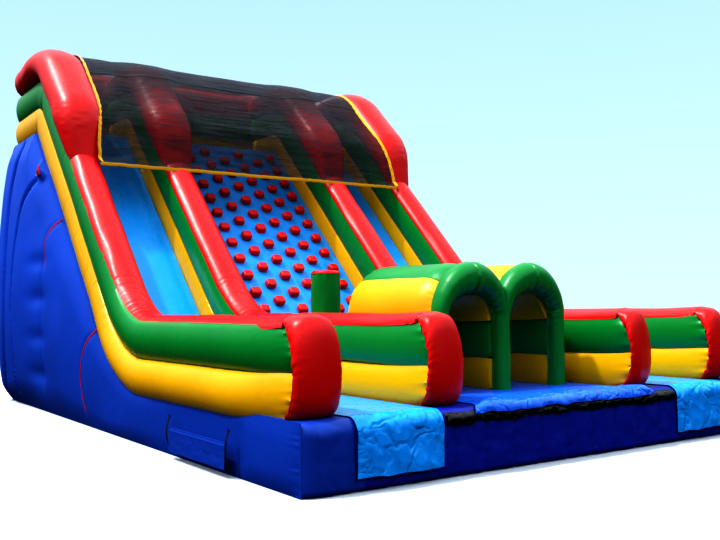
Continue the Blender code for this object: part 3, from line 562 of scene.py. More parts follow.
def make_stage():
    """A pale floor, a soft high light from the rear left, and a pale sky that whitens at the horizon."""
    reach = 160.0
    corners = np.array([(-reach, -reach, -0.002), (reach, -reach, -0.002), (reach, reach, -0.002),
                        (-reach, reach, -0.002)])
    mesh = bpy.data.meshes.new("floor")
    mesh.from_pydata(corners.tolist(), [], [(0, 1, 2, 3)])
    ground = bpy.data.objects.new("floor", mesh)
    bpy.context.scene.collection.objects.link(ground)
    finish, _, shader, _ = new_finish("pale floor")
    shader.inputs["Base Color"].default_value = linear("#C6CACC")
    shader.inputs["Roughness"].default_value = 0.9
    ground.data.materials.append(finish)
    ground.visible_diffuse = False
    ground.visible_glossy = False
    for name, energy, angle in (("key", 1.7, 3.0), ("haze", 0.75, 40.0)):
        lamp = bpy.data.lights.new(name, "SUN")
        lamp.energy = energy
        lamp.angle = math.radians(angle)
        lamp.color = (1.0, 0.99, 0.96)
        light = bpy.data.objects.new(name, lamp)
        light.rotation_euler = (math.radians(-10.4), math.radians(-25.0), 0.0)
        bpy.context.scene.collection.objects.link(light)
    world = bpy.data.worlds.new("sky")
    world.use_nodes = True
    bpy.context.scene.world = world
    tree = world.node_tree
    backdrop = tree.nodes["Background"]
    place = add(tree, "ShaderNodeTexCoord").outputs["Generated"]
    height = add(tree, "ShaderNodeSeparateXYZ", links={0: place}).outputs["Z"]
    share = add(tree, "ShaderNodeMapRange", {1: 0.0, 2: 0.34}, {0: height})
    seen = add(tree, "ShaderNodeMix", {6: linear("#D2EDFA"), 7: linear("#BBDFFF")},
               {0: share.outputs[0]}, data_type="RGBA")
    above = add(tree, "ShaderNodeMapRange", {1: 0.05, 2: 0.62}, {0: height})
    around = add(tree, "ShaderNodeMix", {6: linear("#34383E"), 7: linear("#E4F0FC", 1.8)},
                 {0: above.outputs[0]}, data_type="RGBA")
    direct = add(tree, "ShaderNodeLightPath").outputs["Is Camera Ray"]
    sky_strength = 0.75
    sky = add(tree, "ShaderNodeMix", links={0: direct, 6: around.outputs[2], 7: seen.outputs[2]},
              data_type="RGBA")
    tree.links.new(sky.outputs[2], backdrop.inputs["Color"])
    backdrop.inputs["Strength"].default_value = sky_strength
    bpy.context.scene.view_settings.view_transform = "Standard"
    bpy.context.scene.view_settings.look = "Very High Contrast"


# Walls

def seam_line(heights):
    """How far behind the base's front the end cushion's seam is at each height above the floor."""
    curve = curve_through(seam_curve, 60)
    return np.interp(heights, curve[:, 1], curve[:, 0])


def settle(y):
    """How far the walls sink into the soft floor along the run-out."""
    return 0.055 * rise(y, front - 0.4, front + 1.1) * (1 - rise(y, front + 3.9, front + 4.9))


def band_rings(x, low, high, end, seams, overhang, skew, seed):
    """One air tube of a wall, between two offsets of the rail line.

    Up its side, at the share t of its height, the tube is half as wide as
    wall_half * (s + (1 - s) * sin(pi * t) ** 0.7), where s goes from the lower seam's share to the upper
    one's.  Its front end follows the end cushion's seam, its right side further back by twice the skew.
    Wrinkles push it along its normal: puckers at that seam, small ones along the long seams, cross folds
    where the rail line bends, creases across the slope and slow swells.  On the run-out an outer wall's
    tube leans out over the side by the overhang.
    """
    middle = (low + high) / 2
    start = front + seam_curve[-1][0]
    bend_start = foot - start - rail_bend * math.tan(slope / 2)
    bend_length = (rail_bend - middle) * slope
    head_place = bend_start + bend_length + (head - foot) / math.cos(slope) - rail_bend * math.tan(slope / 2)
    joints = spread_places(bend_start + bend_length + 0.1, head_place - 0.15, 0.62, seed + 4)
    flat_joints = spread_places(0.6, bend_start - 0.2, 0.9, seed + 5)
    points, normals, run = rail(start, end, middle, joints, zone=0.5, fine=0.009, coarse=0.03)
    t = np.linspace(0.0, 1.0, 19)
    seam = seams[0] + (seams[1] - seams[0]) * t
    width = wall_half * (seam + (1 - seam) * np.sin(np.pi * t) ** 0.7)
    offset = low + (high - low) * t
    across = np.concatenate([width, -width[::-1]])
    offset = np.concatenate([offset, offset[::-1]])
    share = np.concatenate([t, t[::-1]])
    line = points[:, None, :] + normals[:, None, :] * offset[None, :, None]
    grid = np.empty((len(run), len(across), 3))
    grid[..., 0] = x + across[None, :]
    grid[..., 1:] = line
    lead = (1 - np.clip(run / 0.9, 0, 1)) ** 2
    ahead = seam_line(offset) - seam_curve[-1][0] + skew * (1 + across / wall_half)
    grid[..., 1] += lead[:, None] * ahead[None, :]
    lean = rise(points[:, 0], front + 0.5, front + 1.5) * (1 - rise(points[:, 0], front + 4.6, front + 6.4))
    outside = np.clip(across * np.sign(x) / wall_half, 0.0, 1.0) ** 2
    pinch = 0.10 * lean[:, None] * fade(offset - yellow_top, 0.04)[None, :]
    grid[..., 0] -= pinch * across[None, :]
    grid[..., 0] += np.sign(x) * overhang * lean[:, None] * outside[None, :]
    grid[..., 2] -= settle(grid[..., 1]) + 0.4 * overhang * lean[:, None] * (outside * (1 - share))[None, :]
    side = 2.0 * np.sign(across)[None, :]
    along = run[:, None]
    around = (offset[None, :] - low) + side
    edge = np.minimum(share, 1 - share)[None, :] * (high - low)
    height = 0.007 * noise(along / 0.9, around / 0.5, seed)
    height = height + 0.020 * fade(along, 0.06) * noise(around / 0.030, along / 0.5, seed + 1)
    height = height - 0.014 * fade(along, 0.03)
    height = height + 0.002 * fade(edge, 0.035) * noise(along / 0.11, around / 0.2, seed + 2)
    folds = spread_places(bend_start - 0.1, bend_start + bend_length + 0.2, 0.22, seed + 3)
    height = height + grooves(along, folds, 0.018, 0.010) * fade(offset - yellow_top, 0.09)[None, :]
    bowed = along + 0.03 * np.sin(np.pi * share)[None, :] + 0.02 * noise(around / 0.15, 0.0, seed + 6)
    uneven = 0.45 + 0.55 * noise(along / 0.4, around / 0.25, seed + 7)
    height = height + grooves(bowed, joints, 0.022, 0.008) * (0.3 + 0.7 * fade(edge, 0.10)) * uneven.clip(0.1)
    height = height + grooves(bowed, flat_joints, 0.05, 0.003)
    height = height + grooves(along, [head_place + 0.02], 0.05, 0.02) * rise(share[None, :], 0.9, 0.1)
    return pushed(grid, height)


def make_wall(number, x, end):
    """A wall's yellow and green tubes and its red cap.  Only the two outer walls' tubes lean out."""
    skew = nose_skews[number - 1]
    bands = [("yellow", 0.001, yellow_top, (seam_share, seam_share), 0.09, 10),
             ("green", yellow_top, green_top, (seam_share, top_seam_share), 0.05, 20)]
    for colour, low, high, seams, lean, seed in bands:
        node = f"wall_{number}_{colour}"
        overhang = lean if number in (1, 4) else 0.0
        rings = band_rings(x, low, high, end, seams, overhang, skew, seed + 100 * number)
        dress(tube(f"{node}_tube", rings), finishes[f"{colour}_vinyl"], f"{colour}_vinyl", node)
    node = f"wall_{number}_cap"
    rings = cap_rings(x, nose_insets[number - 1], skew, 300 + number)
    dress(tube(f"{node}_cushion", rings), finishes["red_vinyl"], "red_vinyl", node)


def cap_rings(x, inset, skew, seed):
    """The end cushion and the rail cushion in one: arches from an inner line to an outer one.

    The inner line goes up the seam and then along the green tube's top; the outer one goes up the nose,
    drawn back by up to the inset, and then along the rail.  Across, at the angle a from 0 to pi, the arch
    is at (cos(a) ** 0.95, sin(a) ** p), where p goes from 0.87 on the nose to 1.1 on the rail; its half
    width eases from the wall's own to the narrower rail cushion's.  The right side of the nose stands
    further back by twice the skew.
    """
    nose_count = 90
    inner_nose = curve_through(seam_curve, nose_count)
    outer_nose = curve_through(nose_curve, nose_count)
    outer_nose[:, 0] += inset * np.sin(np.pi * outer_nose[:, 1] / nose_curve[-1][1]) ** 0.5
    inner_nose = inner_nose + [front, floor]
    outer_nose = outer_nose + [front, floor]
    start = front + seam_curve[-1][0]
    outer_run = rail_between(start, hood_foot[0] + 0.02, green_top + cap_height, 420)
    inner_run = rail_between(start, hood_foot[0] + 0.06, green_top - 0.05, 420)
    inner = np.vstack([inner_nose, inner_run[1:]])
    outer = np.vstack([outer_nose, outer_run[1:]])
    run = distances(outer)
    nose_length = run[nose_count - 1]
    nose_half = wall_half * 1.01
    half = nose_half + (cap_half - nose_half) * rise(run, nose_length - 0.45, nose_length + 0.02)
    angle = np.linspace(0.0, np.pi, 31)
    power = 0.87 + 0.23 * rise(run, nose_length - 0.2, nose_length + 0.15)
    wide = np.sign(np.cos(angle)) * np.abs(np.cos(angle)) ** 0.95
    wide = np.broadcast_to(wide, (len(run), len(angle)))
    deep = np.sin(angle)[None, :].clip(0.0, 1.0) ** power[:, None]
    grid = np.empty((len(run), len(angle), 3))
    grid[..., 0] = x + wide * half[:, None]
    grid[..., 1:] = inner[:, None, :] + (outer - inner)[:, None, :] * deep[..., None]
    lead = (1 - np.clip((run - nose_length) / 0.9, 0, 1)) ** 2
    grid[..., 1] += skew * lead[:, None] * (1 + wide)
    grid[..., 2] -= settle(grid[..., 1])
    along = run[:, None]
    depth = np.linalg.norm(outer - inner, axis=1)[:, None]
    from_seam = np.minimum(angle, np.pi - angle)[None, :] * (depth + 0.1)
    on_nose = 1 - rise(along, nose_length - 0.05, nose_length + 0.25)
    side = 3.0 * np.sign(np.cos(angle))[None, :]
    bend = nose_length + foot - start - rail_bend * math.tan(slope / 2)
    height = 0.006 * noise(along / 0.5, 2 * angle[None, :], seed)
    puckers = noise(along / 0.035, from_seam / 0.4 + side, seed + 1)
    height = height + on_nose * 0.014 * fade(from_seam, 0.06) * puckers
    height = height - on_nose * 0.010 * fade(from_seam, 0.025)
    height = height + (1 - on_nose) * 0.0015 * fade(from_seam, 0.03) * noise(along / 0.05, side, seed + 2)
    folds = spread_places(bend + 0.15, bend + 1.25, 0.11, seed + 3)
    broken = (0.5 + noise(along / 0.11, 1.6 * angle[None, :], seed + 4)).clip(0.0, 1.0) * (1 - on_nose)
    broken = broken * rise(np.sin(angle), 0.25, 0.6)[None, :]
    height = height + grooves(along + 0.05 * np.cos(angle)[None, :], folds, 0.014, 0.009) * broken
    return pushed(grid, height)


# Hoods and canopy

def hood_lines(end, sink, count):
    """The hood's outer line, up its front and over the crown, and the line that it sits on.

    The sink is how much lower than the full height the hood stands.
    """
    top = crown - sink
    crown_y = foot + (top - floor) - (top - deck) / math.cos(slope)
    brow = (hood_brow[0] + 0.6 * sink, hood_brow[1] - 0.6 * sink)
    outer, normals = bent_line([hood_foot, brow, (crown_y, top), (end, top)], [0.95, 1.30])
    outer, turned = sample(outer, normals, np.linspace(0.0, distances(outer)[-1], count), 0.0)
    heel = hood_foot[0] + hood_seat_length * math.cos(slope)
    return outer, turned, rail_between(heel, end, green_top - 0.01, count)


def hood_rings(x, end, sink, seed):
    """A fat tube between the two lines, a rounded box of squareness 2.2 in section.

    It is drawn in at its foot and rear and spreads between them, with cross puckers at the foot, the brow
    and behind the crown.
    """
    outer, _, inner = hood_lines(end, sink, 230)
    run = distances(outer)
    angle = np.linspace(0.0, 2 * np.pi, 57)[:-1]
    wide, deep = rounded(angle, 2.2)
    draw = 1 - 0.13 * fade(run, 0.12) - 0.05 * fade(run - run[-1], 0.06)
    draw = draw + hood_spread * rise(run, 0.0, 0.9) * (1 - rise(run, run[-1] - 1.5, run[-1]))
    grid = np.empty((len(run), len(angle), 3))
    grid[..., 0] = x + wide[None, :] * (hood_half - 0.004) * draw[:, None]
    lift = 0.5 + 0.5 * deep
    grid[..., 1:] = inner[:, None, :] + (outer - inner)[:, None, :] * lift[None, :, None]
    along = run[:, None]
    around = angle[None, :]
    brow = hood_brow[1] - hood_foot[1]
    height = 0.010 * noise(along / 0.6, around * 1.3, seed)
    height = height + 0.012 * fade(along, 0.09) * noise(around * 9.0, along / 0.4, seed + 1)
    at_brow = np.exp(-((along - 0.8 * brow) / 0.30) ** 2)
    height = height + 0.004 * at_brow * noise(along / 0.06, around * 5.0, seed + 2)
    height = height + grooves(along + 0.03 * np.sin(2 * around), [run[-1] - 0.55], 0.06, 0.022)
    height = height + 0.006 * fade(along - run[-1], 0.1) * noise(around * 8.0, along / 0.4, seed + 3)
    height = np.where(np.abs(np.cos(around)) > 0.93, np.minimum(height, 0.003), height)
    return pushed(grid, height)


def canopy_lines(count):
    """Side view of the net in the middle of a bay, and of the net where it lies on a hood."""
    lead = (canopy_crown - deck) / math.cos(slope)
    knee = (foot + 4.62 - floor - lead, 4.62)
    top = (foot + canopy_crown - floor - lead, canopy_crown)
    low, normals = bent_line([canopy_hem, knee, top, (canopy_back, canopy_crown)], [0.45, 1.2])
    low, _ = sample(low, normals, np.linspace(0.0, distances(low)[-1], count), 0.0)
    outer, turned, _ = hood_lines(canopy_back, inner_hood_sink, 400)
    over = np.vstack([canopy_hem, (outer + turned * 0.03)[12:]])
    run = distances(over)
    high = np.column_stack([np.interp(np.linspace(0.0, run[-1], count), run, over[:, k]) for k in (0, 1)])
    return low, high


def left_of(line):
    """Unit normals on the left of a side-view line, from the differences between its points."""
    ahead = np.gradient(line, axis=0)
    return np.column_stack([-ahead[:, 1], ahead[:, 0]]) / np.linalg.norm(ahead, axis=1)[:, None]


def down_the_flank(line, share_along, x):
    """The line moved back from the hoods' crests to where it lies on the inner flanks of the end ones."""
    outward = left_of(line)
    on_front = rise(share_along, 0.02, 0.25) * (1 - 0.6 * rise(share_along, 0.42, 0.70))
    drop = flank_drop * on_front[:, None] * (1 - rise(canopy_half - np.abs(x), 0.0, 0.9))[None, :]
    return line[:, None, :] - outward[:, None, :] * drop[..., None]


def tent(x):
    """How closely the net follows the hoods at x: 1 on inner crests and at its ends, eased to 0 beside."""
    away = np.minimum(np.abs(np.abs(x) - wall_x), np.clip(canopy_half - np.abs(x), 0.0, None))
    return 1 - rise(away, 0.14, 0.62)


def flare(share_along):
    """How much wider than at its crown the net is at each share of its length, counted from the hem."""
    return 1 + (hem_half / canopy_half - 1) * (1 - rise(share_along, 0.0, 0.4))


def canopy_point(x, share_along, low, high):
    """Points of the net at each x (columns) and place along it (rows), with the sag between its supports."""
    lift = tent(x)[None, :, None]
    line = low[:, None, :] * (1 - lift) + down_the_flank(high, share_along, x) * lift
    hang = 0.02 * rise(share_along, 0.02, 0.5)[:, None] * (1 - tent(x))[None, :]
    grid = np.empty((len(low), len(x), 3))
    grid[..., 0] = x[None, :] * flare(share_along)[:, None]
    grid[..., 1] = line[..., 0]
    grid[..., 2] = line[..., 1] - hang
    return grid


def make_canopy():
    """The stretched net with its fine cross wrinkles, its seam tape, the yellow hem and the two bindings."""
    count = 190
    low, high = canopy_lines(count)
    share = np.linspace(0.0, 1.0, count)
    x = np.linspace(-canopy_half, canopy_half, 240)
    grid = canopy_point(x, share, low, high)
    along = share[:, None] * distances(low)[-1]
    wrinkles = 0.007 * noise(x[None, :] / 0.9, along / 0.045, 41)
    wrinkles = wrinkles + 0.008 * noise(x[None, :] / 0.5, along / 0.3, 42)
    pinned = rise(canopy_half - np.abs(x), 0.0, 0.15)[None, :] * rise(along, 0.0, 0.1)
    pinned = pinned * rise(1 - share[:, None], 0.0, 0.05)
    held = pinned * (1 - 0.8 * tent(x)[None, :])
    grid = pushed(grid, wrinkles * held, around=False)
    net = dress(sheet_of("canopy_net", grid, 0.0015), finishes["mesh_fabric"], "mesh_fabric", "canopy_mesh")
    tape_row = int(count * 0.52)
    tape = sheet_of("canopy_seam_tape", grid[tape_row:tape_row + 3] + [0.0, -0.003, 0.004], 0.002)
    dress(tape, finishes["black_webbing"], "mesh_fabric")
    places = np.linspace(-hem_half - 0.012, hem_half + 0.012, 420)
    ripple = 0.004 * noise(places / 0.07, 0.0, 43) + 0.006 * noise(places / 0.9, 0.5, 44)
    heights = np.linspace(-0.050, 0.004, 5)
    hem_grid = np.empty((len(places), 5, 3))
    hem_grid[..., 0] = places[:, None]
    bowed = 0.004 * np.sin(np.pi * np.linspace(0, 1, 5))
    hem_grid[..., 1] = canopy_hem[0] - 0.006 - bowed[None, :] + 0.3 * ripple[:, None]
    hem_grid[..., 2] = canopy_hem[1] + heights[None, :] + ripple[:, None]
    hem = dress(sheet_of("canopy_hem_band", hem_grid, 0.004), finishes["yellow_vinyl"], "yellow_vinyl",
                "canopy_hem")
    edge = down_the_flank(high, share, np.array([canopy_half]))[:, 0]
    run = distances(edge)
    outward = left_of(edge)
    shares = np.linspace(-1.0, 1.0, 7)
    for side, word in ((-1, "left"), (1, "right")):
        node = f"canopy_binding_{word}"
        strip = np.empty((count, 7, 3))
        puckers = 0.007 * noise(run / 0.05, 0.0, 45 + side)[:, None]
        strip[..., 0] = side * (canopy_half * flare(share)[:, None] + 0.028 * shares[None, :] + puckers)
        lift = 0.008 + 0.018 * rise(shares, -0.4, 1.0)[None, :]
        lift = lift + 0.004 * noise(run[:, None] / 0.03, shares[None, :], 50 + side)
        strip[..., 1:] = edge[:, None, :] + outward[:, None, :] * lift[..., None]
        band = sheet_of(f"{node}_band", strip, 0.003)
        dress(band, finishes["yellow_vinyl"], "yellow_vinyl", node)


# Blue body

rear_top_radius = 0.55
rear_low_radius = 0.42
corner_radius = 0.30
corner_cut = corner_radius - math.sqrt(corner_radius ** 2 - (corner_radius - panel_x + core_half) ** 2)


def side_height(y):
    """Height of the side panel's top edge at each y: the rail line, then a rounded rear corner."""
    line, _ = bent_line([(front, floor), (foot, floor), (head, deck), (rear_y, deck), (rear_y + 0.001, 0.0)],
                        [rail_bend, 0.05, rear_top_radius])
    return np.interp(y, line[:, 0], line[:, 1])


def side_low(y):
    """Height of the side panel's lower edge at each y: the ground, then a rounded rear corner."""
    into = np.clip(y - (rear_y - rear_low_radius), 0.0, rear_low_radius)
    return rear_low_radius - np.sqrt(rear_low_radius ** 2 - into ** 2)


def valley(y, z, path, width):
    """How close (y, z) is to a line: exp(-(distance / width) ** 2), by the nearest of its points."""
    line = curve_through(path, 80)
    nearest = np.full(np.broadcast(y, z).shape, 9.0)
    for place in line:
        nearest = np.minimum(nearest, (y - front - place[0]) ** 2 + (z - place[1]) ** 2)
    return np.exp(-nearest / width ** 2)


# Creases, seams and tie points of the side panels, as (distance behind the base's front, height)
rear_crease = [(9.45, 4.50), (9.75, 3.75), (9.85, 3.0), (9.88, 2.15), (9.95, 1.1), (10.10, 0.0)]
tether_crease = [(8.27, 3.80), (8.90, 3.45), (9.15, 2.95), (9.30, 2.40), (9.36, 1.8), (9.32, 1.2),
                 (9.30, 0.25)]
upper_seam = [(7.16, 3.01), (7.55, 2.88), (7.73, 2.70), (7.78, 2.5), (7.75, 2.30)]
lower_seam = [(5.50, 1.36), (5.80, 1.17), (5.95, 0.97), (6.01, 0.70), (5.95, 0.45), (5.82, 0.20)]
tie_heights = [2.38, 1.80, 1.18, 0.60]
tie_y = 7.83


def panel_out(y, z):
    """How far from the middle plane the side panel stands at (y, z).

    Over the width W from its rim it rises from the core to its full depth as (1 - (1 - distance / W) ** 2)
    ** 0.8, and at the front corner as the outer part of a quarter circle.  Above that come a pillow,
    sin(pi * s ** 0.75) ** 0.5 at the share s of the height, slow swells, the tie points in a column and the
    creases.  It stays flat at the anchor patch and round the zip.
    """
    top, low = side_height(y), side_low(y)
    step = 0.005
    steep = (side_height(y + step) - side_height(y - step)) / (2 * step)
    rim = np.minimum((top - z) / np.hypot(1.0, steep), z - low)
    rim = np.minimum(rim, rear_y - y).clip(0.0)
    tower = rise(y, front + 4.8, front + 7.4)
    zipped = rise(y, front + 0.95, front + 1.15) * (1 - rise(y, front + 2.85, front + 3.05))
    width = 0.20 + 0.28 * tower - 0.09 * zipped - 0.16 * rise(y, rear_y - 1.4, rear_y - 0.4)
    edge = (1 - (1 - np.clip(rim / width, 0.0, 1.0)) ** 2) ** 0.8
    depth = panel_x - core_half
    ahead = corner_radius - np.clip(y - front, 0.0, corner_radius)
    edge = edge * ((np.sqrt(corner_radius ** 2 - ahead ** 2) - corner_radius + depth) / depth).clip(0.0)
    share = np.clip((z - low) / np.maximum(top - low, 0.01), 0.0, 1.0)
    behind = rise(y, front + 7.4, front + 9.6)
    swell = (0.02 + 0.11 * tower + 0.12 * behind) * np.sin(np.pi * share ** 0.75).clip(0.0) ** 0.5
    swell = swell + 0.012 * noise(y / 0.8, z / 0.6, 61)
    for place in tie_heights:
        near = np.exp(-((y - front - tie_y - 0.22) / 0.42) ** 2 - ((z - place) / 0.13) ** 2)
        swell = swell - 0.030 * near
    column = np.exp(-((y - front - tie_y) / 0.09) ** 2) * rise(z, 0.2, 0.6) * (1 - rise(z, 2.2, 2.7))
    swell = swell - 0.030 * column
    for path, depth, reach in ((rear_crease, 0.11, 0.075), (tether_crease, 0.05, 0.04),
                               (upper_seam, 0.014, 0.04), (lower_seam, 0.014, 0.04)):
        swell = swell - depth * valley(y, z, path, reach)
    out = core_half + 0.003 + (depth + swell * (1 - zipped)) * edge
    patched = np.exp(-((y - front - 8.20) / 0.16) ** 4 - ((z - 3.885) / 0.15) ** 4)
    return out + (panel_x - 0.001 - out) * patched


def make_side_panel(side, word):
    """A panel over the whole side, gathered where it is sewn to the front corner."""
    start = front + corner_cut
    y = np.concatenate([start + np.geomspace(0.0005, 0.19, 18), np.linspace(start + 0.21, front + 5.0, 80),
                        np.linspace(front + 5.03, rear_y - 0.2, 190), rear_y - np.geomspace(0.18, 0.001, 18)])
    top, low = side_height(y), side_low(y)
    shares = np.linspace(0.0, 1.0, 150)
    shares = 0.6 * shares + 0.4 * (0.5 - 0.5 * np.cos(np.pi * shares))
    z = low[:, None] + 0.001 + (top - low - 0.002)[:, None] * shares[None, :]
    out = panel_out(y[:, None], z)
    gather = noise(z / 0.028, y[:, None] / 0.5, 66) * fade(y[:, None] - front - 0.12, 0.08)
    out = out + 0.003 * gather * rise(y[:, None], start, start + 0.05)
    grid = np.stack([side * out, np.broadcast_to(y[:, None], z.shape), z], axis=-1)
    inner = grid.copy()
    inner[..., 0] = side * (core_half + 0.001)
    node = f"side_panel_{word}"
    dress(slab(f"{node}_skin", grid, inner, corner_crease), finishes["blue_vinyl"], "blue_vinyl", node)
    for number, path in enumerate((upper_seam, lower_seam)):
        line = curve_through(path, 60)
        spot_y, spot_z = front + line[:, 0], line[:, 1]
        spot_x = panel_out(spot_y, spot_z) + 0.004
        place = np.stack([side * spot_x, spot_y, spot_z], axis=-1)
        ahead = np.gradient(place, axis=0)
        across = np.cross(ahead, [side, 0.0, 0.0])
        across /= np.linalg.norm(across, axis=1, keepdims=True)
        tape = ribbon(f"{node}_seam_tape_{number + 1}", place, across, 0.022, 0.003)
        dress(tape, finishes["red_vinyl"], "red_vinyl")


def make_base():
    """The floor chamber: its side view carried across, pulled in at the upright seams of its front.

    Seams 0.382 apart cut the front by 0.016 * exp(-(distance / 0.022)), and the cell between two of them
    swells on both sides of its middle, by the sine of pi * distance over half the spacing.  Its front
    corners are the inner half of a quarter circle whose outer half is the side panel's.
    """
    x = np.linspace(-core_half, core_half, 640)
    edge = 0.12
    low_edge = 0.06
    seam_spacing = 0.382
    arc_points = 9
    corners = [(back, 0.0), (front, 0.0), (front, floor), (back, floor)]
    outline, _ = bent_line(corners, [low_edge, edge], arc_points)
    face = np.linspace(low_edge + 0.03, floor - edge - 0.03, 14)
    rows = list(outline[:1 + arc_points]) + [(front, z) for z in face] + list(outline[1 + arc_points:-1])
    rows += [(front + d, floor) for d in (0.3, 0.6, 1.2, 2.4, 4.0)] + [outline[-1]]
    side_view = np.array(rows)
    grid = np.empty((len(x), len(side_view), 3))
    grid[..., 0] = x[:, None]
    grid[..., 1:] = side_view[None, :, :]
    seams = np.arange(-core_half + 0.14, core_half, seam_spacing)
    apart = np.min(np.abs(x[:, None] - seams[None, :]), axis=1)
    on_face = np.exp(-((side_view[:, 0] - front) / 0.12) ** 2)[None, :]
    across = x[:, None]
    up = side_view[None, :, 1]
    cells = 1 - np.sin(np.pi * np.clip(apart / (seam_spacing / 2), 0, 1))
    dip = 0.016 * fade(apart, 0.022)[:, None] + 0.006 * cells[:, None]
    lumps = 0.007 * noise(across / 0.22, up / 0.16, 71) + 0.003 * noise(across / 0.06, up / 0.05, 72)
    puckers = 0.006 * fade(apart, 0.05)[:, None] * noise(across / 0.3, up / 0.03, 73)
    ends = rise(core_half - np.abs(x), 0.0, 0.25)[:, None]
    grid[..., 1] += on_face * (dip - lumps - puckers) * ends
    past = np.clip(np.abs(x) - (panel_x - corner_radius), 0.0, corner_radius)
    cut = corner_radius - np.sqrt(corner_radius ** 2 - past ** 2)
    grid[..., 1] += on_face * cut[:, None]
    grid[..., 2] += 0.004 * noise(across / 0.3, side_view[None, :, 0] / 0.3, 74) * rise(up, 0.55, 0.64)
    dress(tube("base_shell", grid, corner_crease), base_fabric, "blue_vinyl", "base_platform")


def make_rear_panel():
    """The rear chamber: upright pillows 0.65 wide between seams, with a rounded top edge."""
    x = np.linspace(-core_half, core_half, 300)
    inner_y = back + 0.001
    arc_points = 12
    low_arc = 1 + 2 * arc_points
    corners = [(inner_y, 0.0), (inner_y, deck), (rear_y, deck), (rear_y, 0.0), (inner_y + 0.02, 0.0)]
    radii = [0.02, rear_top_radius - 0.12, rear_low_radius - 0.04]
    outline, _ = bent_line(corners, radii, arc_points)
    face = np.linspace(deck - rear_top_radius, rear_low_radius + 0.04, 56)
    rows = [outline[0]] + [(inner_y, z) for z in (1.0, 2.0, 3.0, 4.0)] + list(outline[1:low_arc])
    rows += [(rear_y, z) for z in face] + list(outline[low_arc:])
    side_view = np.array(rows)
    grid = np.empty((len(x), len(side_view), 3))
    grid[..., 0] = x[:, None]
    grid[..., 1:] = side_view[None, :, :]
    cell = 2 * core_half / 10
    swell = np.abs(np.sin(np.pi * (x + core_half) / cell)) ** 0.6
    behind = rise(side_view[:, 0], rear_y - 0.25, rear_y)[None, :]
    lumps = 0.008 * noise(x[:, None] / 0.3, side_view[None, :, 1] / 0.4, 76)
    grid[..., 1] += behind * (0.07 * swell[:, None] + lumps)
    dress(tube("rear_shell", grid), finishes["blue_vinyl"], "blue_vinyl", "rear_panel")


def make_rear_tubes():
    """Three tubes across the back of the platform, each bulged as the walls' tubes are."""
    rear_rise = 0.10
    for seed, colour in ((81, "yellow"), (82, "green"), (83, "red")):
        node = f"rear_tube_{colour}"
        corner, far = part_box(node)
        t = np.linspace(0.0, 1.0, 17)
        half = (far.y - corner.y) / 2
        width = half * (seam_share + (1 - seam_share) * np.sin(np.pi * t) ** 0.7)
        depth = np.concatenate([width, -width[::-1]])
        up = corner.z + (far.z - corner.z) * np.concatenate([t, t[::-1]])
        x = np.linspace(corner.x, far.x, 260)
        grid = np.empty((len(x), len(depth), 3))
        grid[..., 0] = x[:, None]
        grid[..., 1] = (corner.y + far.y) / 2 + depth[None, :]
        raised = rear_rise if colour == "red" else 0.0
        grid[..., 2] = (up + raised * (up - corner.z) / (far.z - corner.z))[None, :]
        height = 0.006 * noise(x[:, None] / 0.7, up[None, :] / 0.3 + np.sign(depth)[None, :], seed)
        height = height + grooves(x[:, None], [-wall_x, 0.0, wall_x], 0.02, 0.015)
        piece = tube(f"{node}_cushion", pushed(grid, height))
        dress(piece, finishes[f"{colour}_vinyl"], f"{colour}_vinyl", node)


# Lanes, climbing wall and sheets

bed_offset = 0.19
bed_front = front + 3.60
bed_lip = 0.02
bed_top = 0.05
bed_bend = 2.2


def bed_line():
    """Side view of the beds' top: along the floor, up the slope and onto the platform."""
    low, high = floor + bed_lip, deck + bed_top
    lead = bed_offset / math.cos(slope)
    corners = [(bed_front, low), (foot + low - floor - lead, low), (foot + high - floor - lead, high),
               (inner_back - 0.002, high)]
    return bent_line(corners, [bed_bend, 0.08])


def lay(x, line, normals, height):
    """A grid of points: rows along a side-view line, columns at each x, raised along the line's normals."""
    grid = np.empty((len(line), len(x), 3))
    grid[..., 0] = x[None, :]
    grid[..., 1:] = line[:, None, :] + normals[:, None, :] * height[..., None]
    return grid


